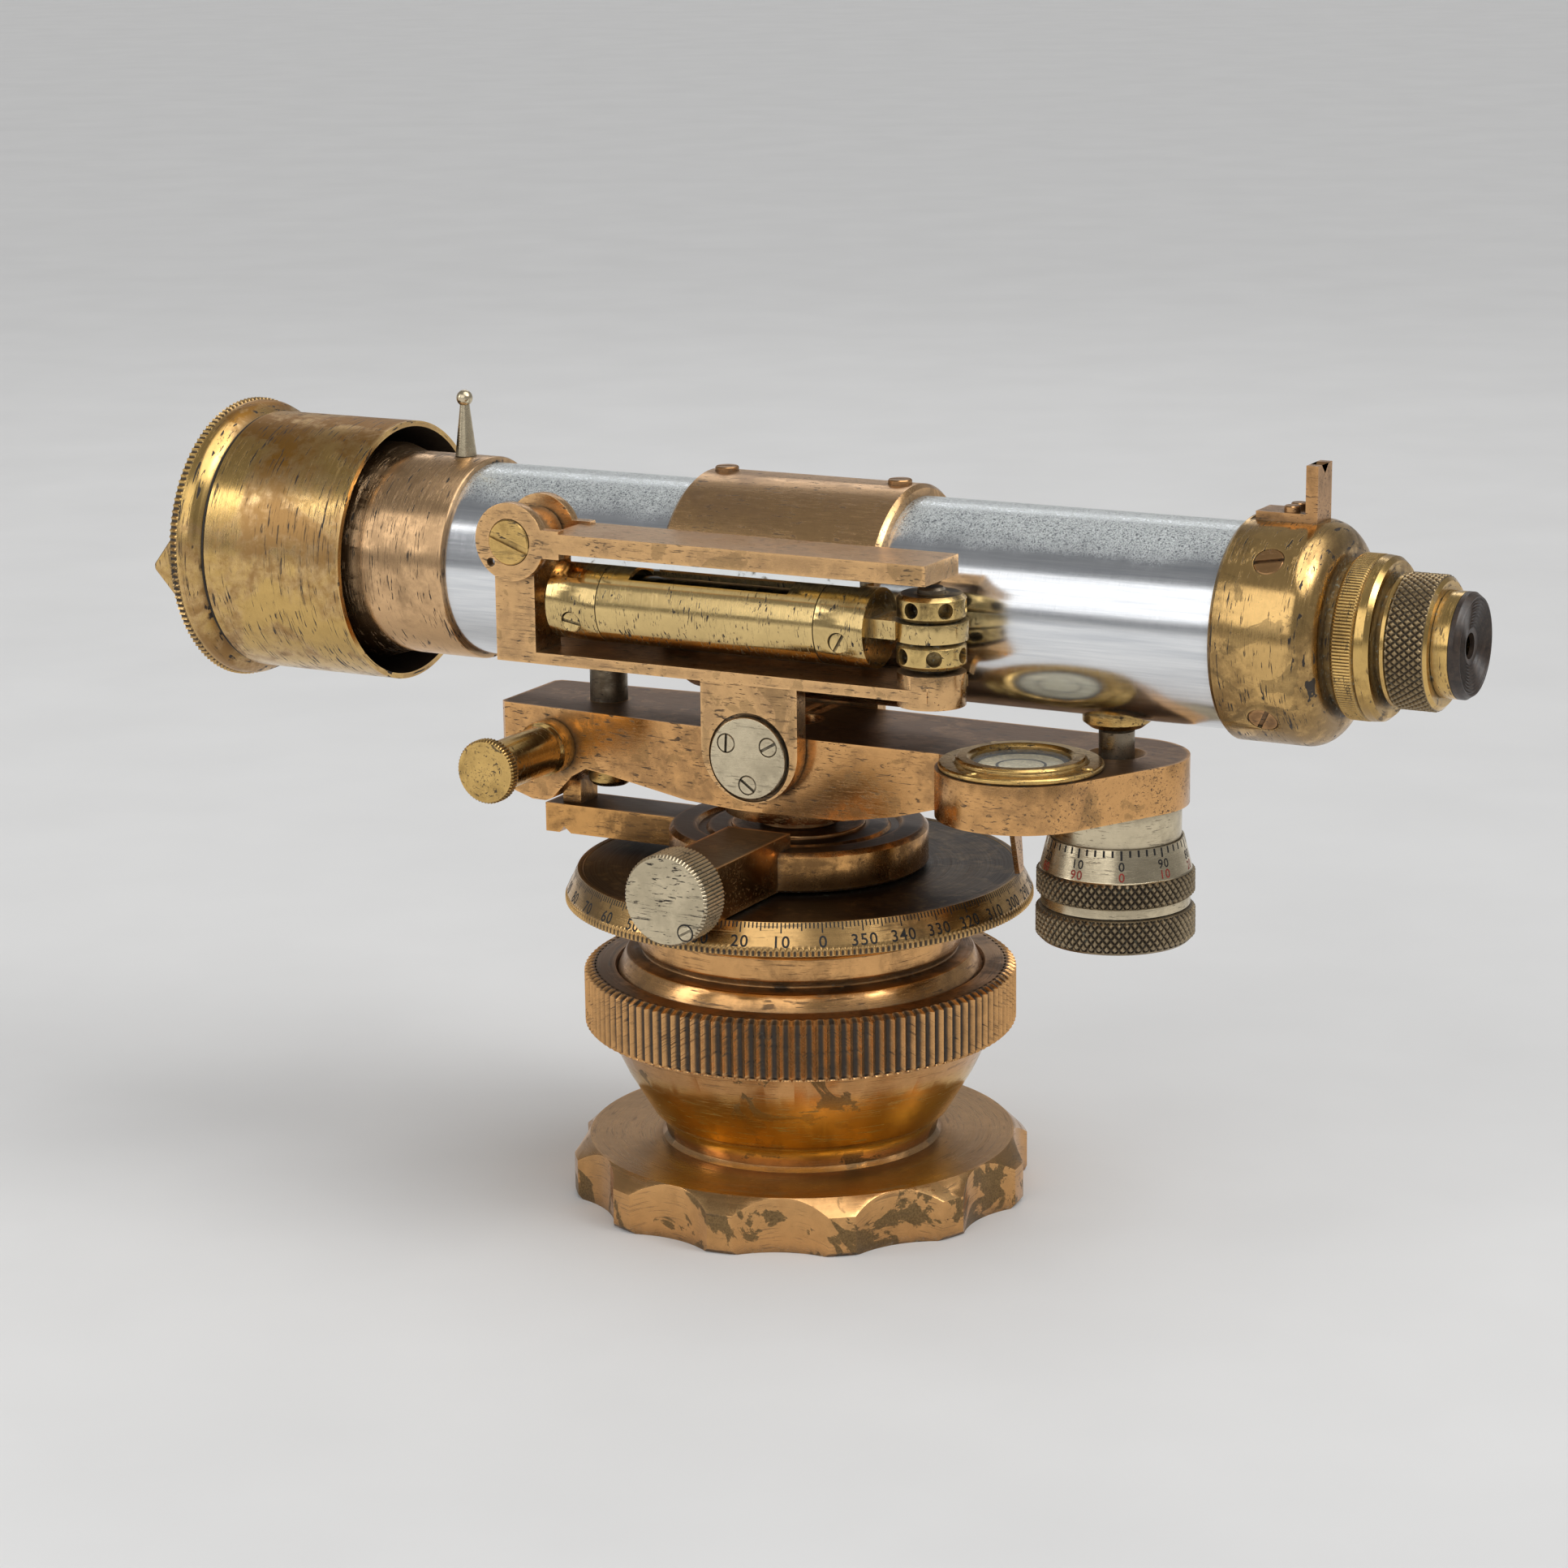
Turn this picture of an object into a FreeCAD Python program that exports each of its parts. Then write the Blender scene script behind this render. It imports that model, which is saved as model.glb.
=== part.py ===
import FreeCAD, Part
import math
import os
import Sketcher
from FreeCAD import Placement, Rotation, Vector

# Surveyor's tilting level: ball-jointed base, horizontal circle, tilting beam and telescope.
# Millimetres.  Z is the vertical axis, +X points to the eyepiece, -Y to the side spirit level.

DIMENSIONS = {
    "base_radius": 41.6, "base_edge_radius": 41.0, "base_side_height": 7.2,
    "base_plate_height": 10.0, "base_top_radius": 38.6, "scallop_count": 12.0,
    "scallop_radius": 17.9, "scallop_distance": 56.5, "tripod_thread_radius": 7.94,
    "tripod_thread_depth": 14.0, "ball_centre_height": 27.25,
    "ring_radius": 39.0, "ring_bottom": 31.0, "ring_top": 41.9, "ring_thread_radius": 37.0,
    "deck_height": 53.9, "dial_bottom": 54.4, "dial_top": 60.0, "dial_radius": 42.1,
    "dial_top_radius": 39.8, "dial_hub_radius": 16.0, "collar_hub_radius": 12.0,
    "collar_radius": 23.3, "collar_bottom": 60.6, "collar_top": 67.7, "arm_reach": 50.0,
    "spindle_radius": 7.0, "spindle_top": 78.2, "running_gap": 0.05,
    "beam_top": 86.5, "beam_left": 56.0, "beam_end_half_width": 10.2,
    "beam_half_width": 13.6, "pad_centre_x": 51.3, "pad_centre_y": 16.2,
    "pad_radius": 14.6, "tilt_screw_x": 61.8, "tilt_boss_radius": 12.6,
    "pad_underside": 78.2, "tangent_x": 44.6, "tangent_height": 79.5,
    "trunnion_x": 0.6, "trunnion_height": 83.0, "ear_front": 17.2, "ear_inner": 14.0,
    "axis_height": 110.8, "tube_radius": 17.5, "tube_bore": 16.0, "saddle_radius": 19.6,
    "vial_offset": 25.2, "vial_height": 110.3, "vial_radius": 6.9,
    "frame_front": 31.0, "rail_bottom": 99.4, "rail_thickness": 2.0,
    "post_left": 43.2, "post_width": 8.0, "boss_x": 38.9, "hinge_height": 121.0,
    "mirror_front": 33.0, "mirror_back": 20.2, "knob_x": 1.25, "knob_height": 65.6,
    "shade_radius": 24.0, "shade_bore": 23.0, "spring_pin_x": 38.9,
}

doc = FreeCAD.newDocument("TiltingLevel")
sheet = doc.addObject("Spreadsheet::Sheet", "Dims")
for row, (alias, number) in enumerate(DIMENSIONS.items(), start=1):
    sheet.set(f"A{row}", alias)
    sheet.set(f"B{row}", str(number))
    sheet.setAlias(f"B{row}", alias)
doc.recompute()


def value(spec):
    """Number behind a size: a plain number, an alias, or (alias, offset[, factor])."""
    if isinstance(spec, (int, float)):
        return float(spec)
    if isinstance(spec, str):
        return float(sheet.get(spec))
    factor = spec[2] if len(spec) > 2 else 1.0
    return factor * float(sheet.get(spec[0])) + spec[1]


def formula(spec):
    """Sheet expression behind a size, or None for a plain number."""
    if isinstance(spec, (int, float)):
        return None
    if isinstance(spec, str):
        return f"Dims.{spec}"
    factor = spec[2] if len(spec) > 2 else 1.0
    return f"{factor} * Dims.{spec[0]} + {spec[1]}"


def bind(item, prop, spec):
    setattr(item, prop, value(spec))
    if formula(spec):
        item.setExpression(prop, formula(spec))


def place(item, at=(0, 0, 0), turn=None):
    """Put an object at a point whose coordinates may follow the sheet."""
    rotation = turn or Rotation()
    item.Placement = Placement(Vector(*[value(c) for c in at]), rotation)
    for axis, spec in zip("xyz", at):
        if formula(spec):
            item.setExpression(f"Placement.Base.{axis}", formula(spec))
    return item


ALONG_X = Rotation(Vector(0, 1, 0), 90)
TOWARDS_FRONT = Rotation(Vector(1, 0, 0), 90)
TOWARDS_BACK = Rotation(Vector(1, 0, 0), -90)


def origin_plane(body, role):
    return next(f for f in body.Origin.OriginFeatures if f.Role == role)


def arc_centre(start, end, radius):
    """Centre of the arc from start to end; positive radius keeps it on the left."""
    chord = end - start
    middle = (start + end) * 0.5
    height = math.sqrt(max(radius * radius - (chord.Length / 2) ** 2, 0.0))
    normal = Vector(-chord.y, chord.x, 0)
    normal.normalize()
    return middle + normal * (height if radius > 0 else -height)


def outline(sketch, points):
    """Closed outline; a point is (x, y) or (x, y, radius of the arc to the next point)."""
    corners = [Vector(value(p[0]), value(p[1]), 0) for p in points]
    count = len(points)
    ends = []
    for i, point in enumerate(points):
        start, end = corners[i], corners[(i + 1) % count]
        if len(point) == 2:
            sketch.addGeometry(Part.LineSegment(start, end))
            ends.append((1, 2))
            continue
        radius = value(point[2])
        centre = arc_centre(start, end, radius)
        first, second = (start, end) if radius > 0 else (end, start)
        angles = [math.atan2(p.y - centre.y, p.x - centre.x) for p in (first, second)]
        circle = Part.Circle(centre, Vector(0, 0, 1), abs(radius))
        sketch.addGeometry(Part.ArcOfCircle(circle, angles[0], angles[1]))
        ends.append((1, 2) if radius > 0 else (2, 1))
        sketch.addConstraint(Sketcher.Constraint("Radius", i, abs(radius)))
    for i in range(count):
        after = (i + 1) % count
        sketch.addConstraint(
            Sketcher.Constraint("Coincident", i, ends[i][1], after, ends[after][0]))
    for i, point in enumerate(points):
        for kind, spec in (("DistanceX", point[0]), ("DistanceY", point[1])):
            index = sketch.addConstraint(
                Sketcher.Constraint(kind, -1, 1, i, ends[i][0], value(spec)))
            if formula(spec):
                sketch.setExpression(f"Constraints[{index}]", formula(spec))


def new_sketch(body, name, role):
    sketch = body.newObject("Sketcher::SketchObject", name)
    sketch.AttachmentSupport = (origin_plane(body, role), [""])
    sketch.MapMode = "FlatFace"
    return sketch


def turned(name, profile, at=(0, 0, 0), turn=None):
    """Lathe work: (radius, height) profile turned about the body's own Z axis."""
    body = doc.addObject("PartDesign::Body", name)
    sketch = new_sketch(body, f"{name}_profile", "XZ_Plane")
    outline(sketch, profile)
    spin = body.newObject("PartDesign::Revolution", f"{name}_turning")
    spin.Profile = sketch
    spin.ReferenceAxis = (sketch, ["V_Axis"])
    spin.Angle = 360
    place(body, at, turn)
    return body


def plate(name, profile, thickness, at=(0, 0, 0), turn=None):
    """Flat work: an outline in the body's XY plane, padded along its Z axis."""
    body = doc.addObject("PartDesign::Body", name)
    sketch = new_sketch(body, f"{name}_outline", "XY_Plane")
    outline(sketch, profile)
    pad = body.newObject("PartDesign::Pad", f"{name}_pad")
    pad.Profile = sketch
    bind(pad, "Length", thickness)
    place(body, at, turn)
    return body


def rod(name, radius, length, at, turn=None):
    item = doc.addObject("Part::Cylinder", name)
    bind(item, "Radius", radius)
    bind(item, "Height", length)
    return place(item, at, turn)


def block(name, size, at, turn=None):
    item = doc.addObject("Part::Box", name)
    for prop, spec in zip(("Length", "Width", "Height"), size):
        bind(item, prop, spec)
    return place(item, at, turn)


def ball(name, radius, at):
    item = doc.addObject("Part::Sphere", name)
    bind(item, "Radius", radius)
    return place(item, at)


def fuse(name, items):
    item = doc.addObject("Part::MultiFuse", name)
    item.Shapes = items
    return item


def cut(name, base, tools):
    item = doc.addObject("Part::Cut", name)
    item.Base = base
    item.Tool = tools[0] if len(tools) == 1 else fuse(f"{name}_tools", tools)
    return item


def group(name, items):
    item = doc.addObject("Part::Compound", name)
    item.Links = items
    return item


finished = []
small_screws = []      # slotted screws of the telescope, which share one node


def finish(name, item):
    item.Label = name
    finished.append(item)
    return item


def slotted(name, head, shank, at, turn, slot_turn=0.0):
    """Slotted screw; head and shank are (radius, length), the head's face is at Z = 0."""
    profile = [(0, 0), (head[0] - 0.2, 0), (head[0], -0.2), (head[0], -head[1]),
               (shank[0], -head[1]), (shank[0], -head[1] - shank[1]), (0, -head[1] - shank[1])]
    body = turned(f"{name}_body", profile)
    width = head[0] * 0.3
    slot = block(f"{name}_slot", (4 * head[0], width, head[1]),
                 (-2 * head[0], -width / 2, -0.45 * head[1]))
    spun = cut(f"{name}_cut", body, [slot])
    place(spun, at, turn.multiply(Rotation(Vector(0, 0, 1), slot_turn)))
    return spun


# ---------------------------------------------------------------- base and ball joint

CENTRE = value("ball_centre_height")
SEAT = 32.2            # spherical seat turned on the base
WASHER = (32.25, 33.75)
SKIRT = (33.8, 35.8)   # inside and outside of the head's spherical skirt
LIP = 35.85            # spherical lip of the clamping ring


def on_sphere(radius, height):
    """Distance from the axis of a sphere about the ball centre at a given height."""
    return math.sqrt(radius ** 2 - (height - CENTRE) ** 2)


def make_base():
    trough = 32.6
    seat_top = 40.2
    profile = [
        ("tripod_thread_radius", 0), ("base_edge_radius", 0), ("base_radius", 0.7),
        ("base_radius", "base_side_height"), ("base_top_radius", "base_plate_height"),
        (25.4, "base_plate_height"), (24.6, 10.8), (24.9, 12.2, -3.0), (27.0, 15.2),
        (31.5, 22.8), (35.0, 30.2), ("ring_thread_radius", 30.95),
        ("ring_thread_radius", 36.0), (36.0, 36.0), (36.0, trough),
        (on_sphere(SEAT, trough), trough, SEAT), (on_sphere(SEAT, seat_top), seat_top),
        (0, seat_top), (0, "tripod_thread_depth"),
        ("tripod_thread_radius", "tripod_thread_depth")]
    body = turned("base", profile)
    first = new_sketch(body, "scallop_sketch", "XY_Plane")
    angle = math.radians(-37.6)
    centre = Vector(math.cos(angle), math.sin(angle), 0) * value("scallop_distance")
    first.addGeometry(Part.Circle(centre, Vector(0, 0, 1), value("scallop_radius")))
    size = first.addConstraint(Sketcher.Constraint("Radius", 0, value("scallop_radius")))
    first.setExpression(f"Constraints[{size}]", "Dims.scallop_radius")
    for kind, number in (("DistanceX", centre.x), ("DistanceY", centre.y)):
        first.addConstraint(Sketcher.Constraint(kind, -1, 1, 0, 3, number))
    scallop = body.newObject("PartDesign::Pocket", "scallop")
    scallop.Profile = first
    scallop.Type = 0
    scallop.Reversed = True
    bind(scallop, "Length", ("base_plate_height", 0.001))
    pattern = body.newObject("PartDesign::PolarPattern", "scallops")
    pattern.Originals = [scallop]
    pattern.Axis = (first, ["N_Axis"])
    pattern.Angle = 360
    pattern.Occurrences = int(value("scallop_count"))
    body.Tip = pattern
    finish("base", body)


def make_joint_rings():
    low, high = 36.0, 39.8
    washer = turned("seat_washer", [
        (on_sphere(WASHER[0], low), low), (on_sphere(WASHER[1], low), low, WASHER[1]),
        (on_sphere(WASHER[1], high), high), (on_sphere(WASHER[0], high), high, -WASHER[0])])
    finish("seat_washer", washer)
    bore = ("ring_thread_radius", 0.05)
    lip_low, lip_high = 38.6, 41.2
    ring = turned("clamp_ring", [
        (bore, "ring_bottom"), (("ring_radius", -0.7), "ring_bottom"),
        ("ring_radius", ("ring_bottom", 0.7)), ("ring_radius", ("ring_top", -0.7)),
        (("ring_radius", -0.7), "ring_top"), (33.4, "ring_top"),
        (on_sphere(LIP, lip_high), lip_high, -LIP), (on_sphere(LIP, lip_low), lip_low),
        (bore, lip_low)])
    finish("clamp_ring", ring)


def make_head():
    low, roof = 36.6, 43.6
    head = turned("head_blank", [
        (0, roof), (on_sphere(SKIRT[0], roof), roof, -SKIRT[0]), (on_sphere(SKIRT[0], low), low),
        (on_sphere(SKIRT[1], low), low, SKIRT[1]), (on_sphere(SKIRT[1], 44.6), 44.6),
        (28.5, 44.9), (28.5, 45.5), (29.3, 46.3), (29.3, 50.3), (28.6, 51.0),
        (28.6, "deck_height"), ("dial_hub_radius", "deck_height"), ("dial_hub_radius", 60.2),
        ("collar_hub_radius", 60.2), ("collar_hub_radius", 68.0), ("spindle_radius", 68.0),
        ("spindle_radius", "spindle_top"), (0, "spindle_top")])
    tapping = rod("spindle_tapping", 2.5, 9.5, (0, 0, ("spindle_top", -9.0)))
    finish("levelling_head", cut("levelling_head", head, [tapping]))
    finish("spindle_screw", slotted("spindle_screw", (4.2, 3.0), (2.5, 10.4), (0, 0, 83.6),
                                    Rotation()))


# ---------------------------------------------------------------- circle and azimuth clamp

def make_dial():
    bore = ("dial_hub_radius", value("running_gap"))
    finish("dial", turned("dial", [
        (bore, "dial_bottom"), ("dial_radius", "dial_bottom"), ("dial_radius", 55.3),
        ("dial_top_radius", "dial_top"), (bore, "dial_top")]))


def make_collar():
    bore = ("collar_hub_radius", value("running_gap"))
    ring = turned("collar_ring", [
        (bore, "collar_bottom"), (("collar_radius", -0.5), "collar_bottom"),
        ("collar_radius", 61.1), ("collar_radius", ("collar_top", -0.8)),
        (("collar_radius", -0.8), "collar_top"), (18.5, "collar_top"), (18.0, 66.9),
        (16.6, 66.9), (16.1, 67.5), (bore, 67.5)])
    arm = block("collar_arm", (30, 10, 5.4), (("arm_reach", 0, -1), -5, 61.6))
    corner = block("arm_corner", (6, 12, 6), (("arm_reach", 0, -1), -6, 58.2),
                   Rotation(Vector(0, 1, 0), 40))
    post = block("arm_post", (3.8, 6, 16.0), (("tangent_x", -2.8, -1), -3, 66.0))
    neck = block("clamp_neck", (12.4, 26.4, 9.4), (("knob_x", -6.2), -43.6, 60.8))
    hole = rod("clamp_hole", 2.55, 34, ("knob_x", -11, "knob_height"), TOWARDS_FRONT)
    whole = fuse("collar_whole", [ring, arm, post, neck])
    hub = rod("collar_bore", bore, 9, (0, 0, 60))
    finish("azimuth_collar", cut("azimuth_collar", whole, [corner, hole, hub]))


def make_clamp():
    at = ("knob_x", -51, "knob_height")
    knob = turned("clamp_knob_blank", [
        (2.5, -7), (7.4, -7), (8.05, -6.5), (8.05, -0.6), (7.6, 0), (0, 0), (0, -3), (2.5, -3)],
        at, TOWARDS_FRONT)
    seat = rod("knob_screw_hole", 1.35, 1.3, (("knob_x", 3.9), -49.75, ("knob_height", -5.1)),
               TOWARDS_FRONT)
    finish("clamp_knob", cut("clamp_knob", knob, [seat]))
    finish("clamp_knob_screw", slotted(
        "clamp_knob_screw", (1.3, 1.5), (0.7, 0.05),
        (("knob_x", 3.9), -51.3, ("knob_height", -5.1)), TOWARDS_FRONT, 30))
    shank = turned("clamp_screw_shank", [(0, 0), (2.5, 0), (2.5, 32.4), (2.0, 33), (0, 33)],
                   ("knob_x", -48, "knob_height"), TOWARDS_BACK)
    finish("clamp_screw", shank)
    finish("clamp_pad", rod("clamp_pad", 2.45, 2.5, ("knob_x", -12.3, "knob_height"),
                            TOWARDS_FRONT))


# ---------------------------------------------------------------- tilting beam

def beam_plan():
    """Plan of the beam: tapered bar, round bubble pad and round screw boss."""
    pad = Vector(value("pad_centre_x"), -value("pad_centre_y"), 0)
    boss = Vector(value("tilt_screw_x"), 0, 0)
    pad_radius, boss_radius = value("pad_radius"), value("tilt_boss_radius")
    across = boss - pad
    slant = math.atan2(across.y, across.x) - math.acos((pad_radius - boss_radius) / across.Length)
    way = Vector(math.cos(slant), math.sin(slant), 0)
    side, end_side = value("beam_half_width"), value("beam_end_half_width")
    left = -value("beam_left")
    meet = pad.x - math.sqrt(pad_radius ** 2 - (pad.y + side) ** 2)
    on_pad, on_boss = pad + way * pad_radius, boss + way * boss_radius
    middle = pad + Vector(0, -pad_radius, 0)
    return [(left, -end_side + 1), (left + 1, -end_side), (0, -side), (meet - 2.4, -side),
            (meet - 0.3, -side - 1.2, pad_radius), (middle.x, middle.y, pad_radius),
            (on_pad.x, on_pad.y), (on_boss.x, on_boss.y, boss_radius),
            (boss.x, boss_radius), (0, side), (left + 1, end_side), (left, end_side - 1)]


def make_beam():
    low = 69.0
    plan = plate("beam_plan", beam_plan(), ("beam_top", -low), (0, 0, low))
    side = plate("beam_side", [
        (-57, 71.2), (-50, 69.2, 6.0), (-45, 69.6), (-40.5, 74.2), (-37.5, 75.9), (-33, 75.4),
        (-16, 72.7), (-5, 72.2), (16, 72.6), (26, 74.4), (34, 76.6), (38, "pad_underside"),
        (76, "pad_underside"), (76, ("beam_top", 0.0)), (-57, ("beam_top", 0.0))],
        70, (0, 35, 0), TOWARDS_FRONT)
    bar = doc.addObject("Part::Common", "beam_bar")
    bar.Base = plan
    bar.Tool = side
    boss = rod("beam_boss", 13.2, 5, (0, 0, 70.3))
    whole = fuse("beam_whole", [bar, boss])
    gap = value("running_gap")
    tools = [
        rod("spindle_bore", ("spindle_radius", gap), 10, (0, 0, 68.5)),
        rod("spindle_screw_way", 2.6, 4, (0, 0, 77.5)),
        rod("spindle_screw_sink", 4.4, 8, (0, 0, 80.5)),
        rod("trunnion_bore_front", 3.55, 12, (("trunnion_x", 0, -1), -5.7, "trunnion_height"),
            TOWARDS_FRONT),
        rod("trunnion_bore_back", 3.55, 12, (("trunnion_x", 0, -1), 5.7, "trunnion_height"),
            TOWARDS_BACK),
        block("post_slot", (5.6, 14.4, 16), (("tangent_x", -3.8, -1), -7.2, 67.5)),
        rod("tangent_bore", 3.4, 24, (("tangent_x", 0, -1), 12, "tangent_height"),
            TOWARDS_FRONT),
        rod("lift_bore_top", 3.5, 4, (("spring_pin_x", 0, -1), 0, 84.2)),
        rod("lift_bore", 2.55, 20, (("spring_pin_x", 0, -1), 0, 68)),
        rod("lift_cap_sink", 4.1, 7.3, (("spring_pin_x", 0, -1), 0, 68)),
        rod("plunger_bore", 3.15, 12, ("tilt_screw_x", 0, 76)),
        rod("bubble_recess", 10.1, 8, ("pad_centre_x", ("pad_centre_y", 0, -1), 80))]
    sink = turned("plunger_sink", [(0, 0), (3.1, 0), (5.2, 2.2), (0, 2.2)],
                  ("tilt_screw_x", 0, ("beam_top", -2.0)))
    finish("beam", cut("beam", whole, tools + [sink]))


def make_bubble():
    at = ("pad_centre_x", ("pad_centre_y", 0, -1), "beam_top")
    holder = turned("bubble_holder_blank", [
        (0, -6), (10.0, -6), (10.0, 0), (13.8, 0), (14.1, 0.3), (14.1, 0.8), (13.8, 1.1),
        (11.6, 1.1), (11.2, 1.3), (11.2, 1.7), (10.8, 2.1), (9.2, 2.1), (8.5, 1.6),
        (8.5, -4.5), (0, -4.5)], at)
    holes = []
    screws = []
    for index, angle in enumerate((-105, -5, 135)):
        x = 12.75 * math.cos(math.radians(angle))
        y = 12.75 * math.sin(math.radians(angle))
        spot = (("pad_centre_x", x), ("pad_centre_y", y, -1), ("beam_top", 1.5))
        holes.append(rod(f"bubble_screw_hole{index}", 0.7, 4,
                         (spot[0], spot[1], ("beam_top", -2.0))))
        screws.append(slotted(f"bubble_screw{index}", (1.05, 0.4), (0.7, 1.0), spot,
                              Rotation(), 40 * index))
    finish("bubble_holder", cut("bubble_holder", holder, holes))
    finish("bubble_screws", group("bubble_screws", screws))
    finish("bubble_glass", turned("bubble_glass", [
        (0, -4.4), (8.4, -4.4), (8.4, 1.1), (0, 1.5)], at))


def make_index():
    """Pointer strip from the beam's underside to the edge of the circle."""
    strip = plate("index_strip_blank", [
        (-3.6, 18.3), (-3.6, 15.5), (-1.6, 0), (1.2, 0), (3.6, 15.5), (3.6, 18.3)],
        0.9, (38.4, 10.2, 60.3),
        Rotation(Vector(0, 0, 1), 100).multiply(Rotation(Vector(1, 0, 0), 84)))
    foot = block("index_level", (20, 20, 10), (28, 0, 77.3))
    finish("index_strip", cut("index_strip", strip, [foot]))


# ---------------------------------------------------------------- tangent screw and lift spring

def make_tangent():
    across = ("tangent_x", 0, -1)
    barrel = turned("tangent_barrel", [
        (2.05, -20.3), (4.3, -20.3), (4.45, -20.1), (4.45, -4.4), (5.0, -3.6), (5.0, 0),
        (3.4, 0), (3.4, 3.6), (2.05, 3.6)], (across, -11.2, "tangent_height"), TOWARDS_BACK)
    finish("tangent_barrel", barrel)
    finish("tangent_screw", rod("tangent_screw", 2.0, 30.25,
                                (across, -3.15, "tangent_height"), TOWARDS_FRONT))
    knob = turned("tangent_knob", [
        (0, 0), (5.4, 0), (5.8, -0.4), (5.8, -2.0), (5.5, -2.5), (4.75, -2.5), (4.75, -0.85),
        (2.05, -0.85), (2.05, -0.55), (0, -0.55)],
        (across, -34.0, "tangent_height"), TOWARDS_FRONT)
    finish("tangent_knob", knob)
    spring_barrel = turned("tangent_spring_barrel", [
        (2.05, -3.6), (3.4, -3.6), (3.4, 0), (4.6, 0), (4.6, 8.0), (3.9, 9.0), (0, 9.0),
        (0, 7.8), (2.05, 7.8)], (across, 11.2, "tangent_height"), TOWARDS_BACK)
    finish("tangent_spring_barrel", spring_barrel)
    finish("tangent_plunger", turned("tangent_plunger", [
        (0, 0), (1.4, 0), (2.0, 0.6), (2.0, 9.0), (0, 9.0)],
        (across, 3.15, "tangent_height"), TOWARDS_BACK))


def make_lift():
    at = ("spring_pin_x", 0, -1)
    finish("lift_pin", turned("lift_pin", [
        (0, 79.0), (2.5, 79.0), (2.5, 85.8), (3.45, 85.8), (3.45, 92.4), (2.9, 93.0),
        (0, 93.0)], (at, 0, 0)))
    finish("lift_cap", turned("lift_cap", [
        (0, 70.7), (3.2, 70.7), (4.0, 71.5), (4.0, 75.3), (2.5, 75.3), (2.5, 77.2),
        (0, 77.2)], (at, 0, 0)))


# ---------------------------------------------------------------- graduated tilting screw

def make_tilt_screw():
    at = ("tilt_screw_x", 0, 0)
    finish("tilt_sleeve", turned("tilt_sleeve", [
        (4.05, 64.4), (11.1, 64.4), (11.3, 64.6), (11.3, "pad_underside"),
        (9.7, "pad_underside"), (9.7, 77.6), (4.05, 77.6)], at))
    finish("tilt_drum", turned("tilt_drum", [
        (4.0, 60.45), (12.9, 60.45), (12.9, 62.0), (13.7, 62.6), (13.7, 66.2), (13.1, 66.8),
        (11.75, 72.3), (11.42, 72.3), (11.42, 61.8), (4.0, 61.8)], at))
    finish("tilt_head", turned("tilt_head", [
        (3.4, 54.1), (12.8, 54.1), (13.8, 55.1), (13.8, 59.5), (13.2, 60.1), (12.4, 60.4),
        (4.0, 60.4), (4.0, 74.4), (3.5, 74.9), (0, 74.9), (0, 54.8), (3.4, 54.8)], at))
    finish("tilt_plunger", turned("tilt_plunger", [
        (0, 75.2), (3.0, 75.2), (3.1, 75.4), (3.1, 90.6), (2.6, 91.2), (0, 91.2)], at))
    foot = turned("tilt_foot_blank", [
        (0, 91.4), (4.6, 91.4), (5.9, 92.4), (5.9, 93.9), (5.0, 96.0), (0, 96.0)], at)
    tube = rod("tilt_foot_tube", "tube_radius", 30, (45, 0, "axis_height"), ALONG_X)
    finish("tilt_foot", cut("tilt_foot", foot, [tube]))


# ---------------------------------------------------------------- saddle casting

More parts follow.
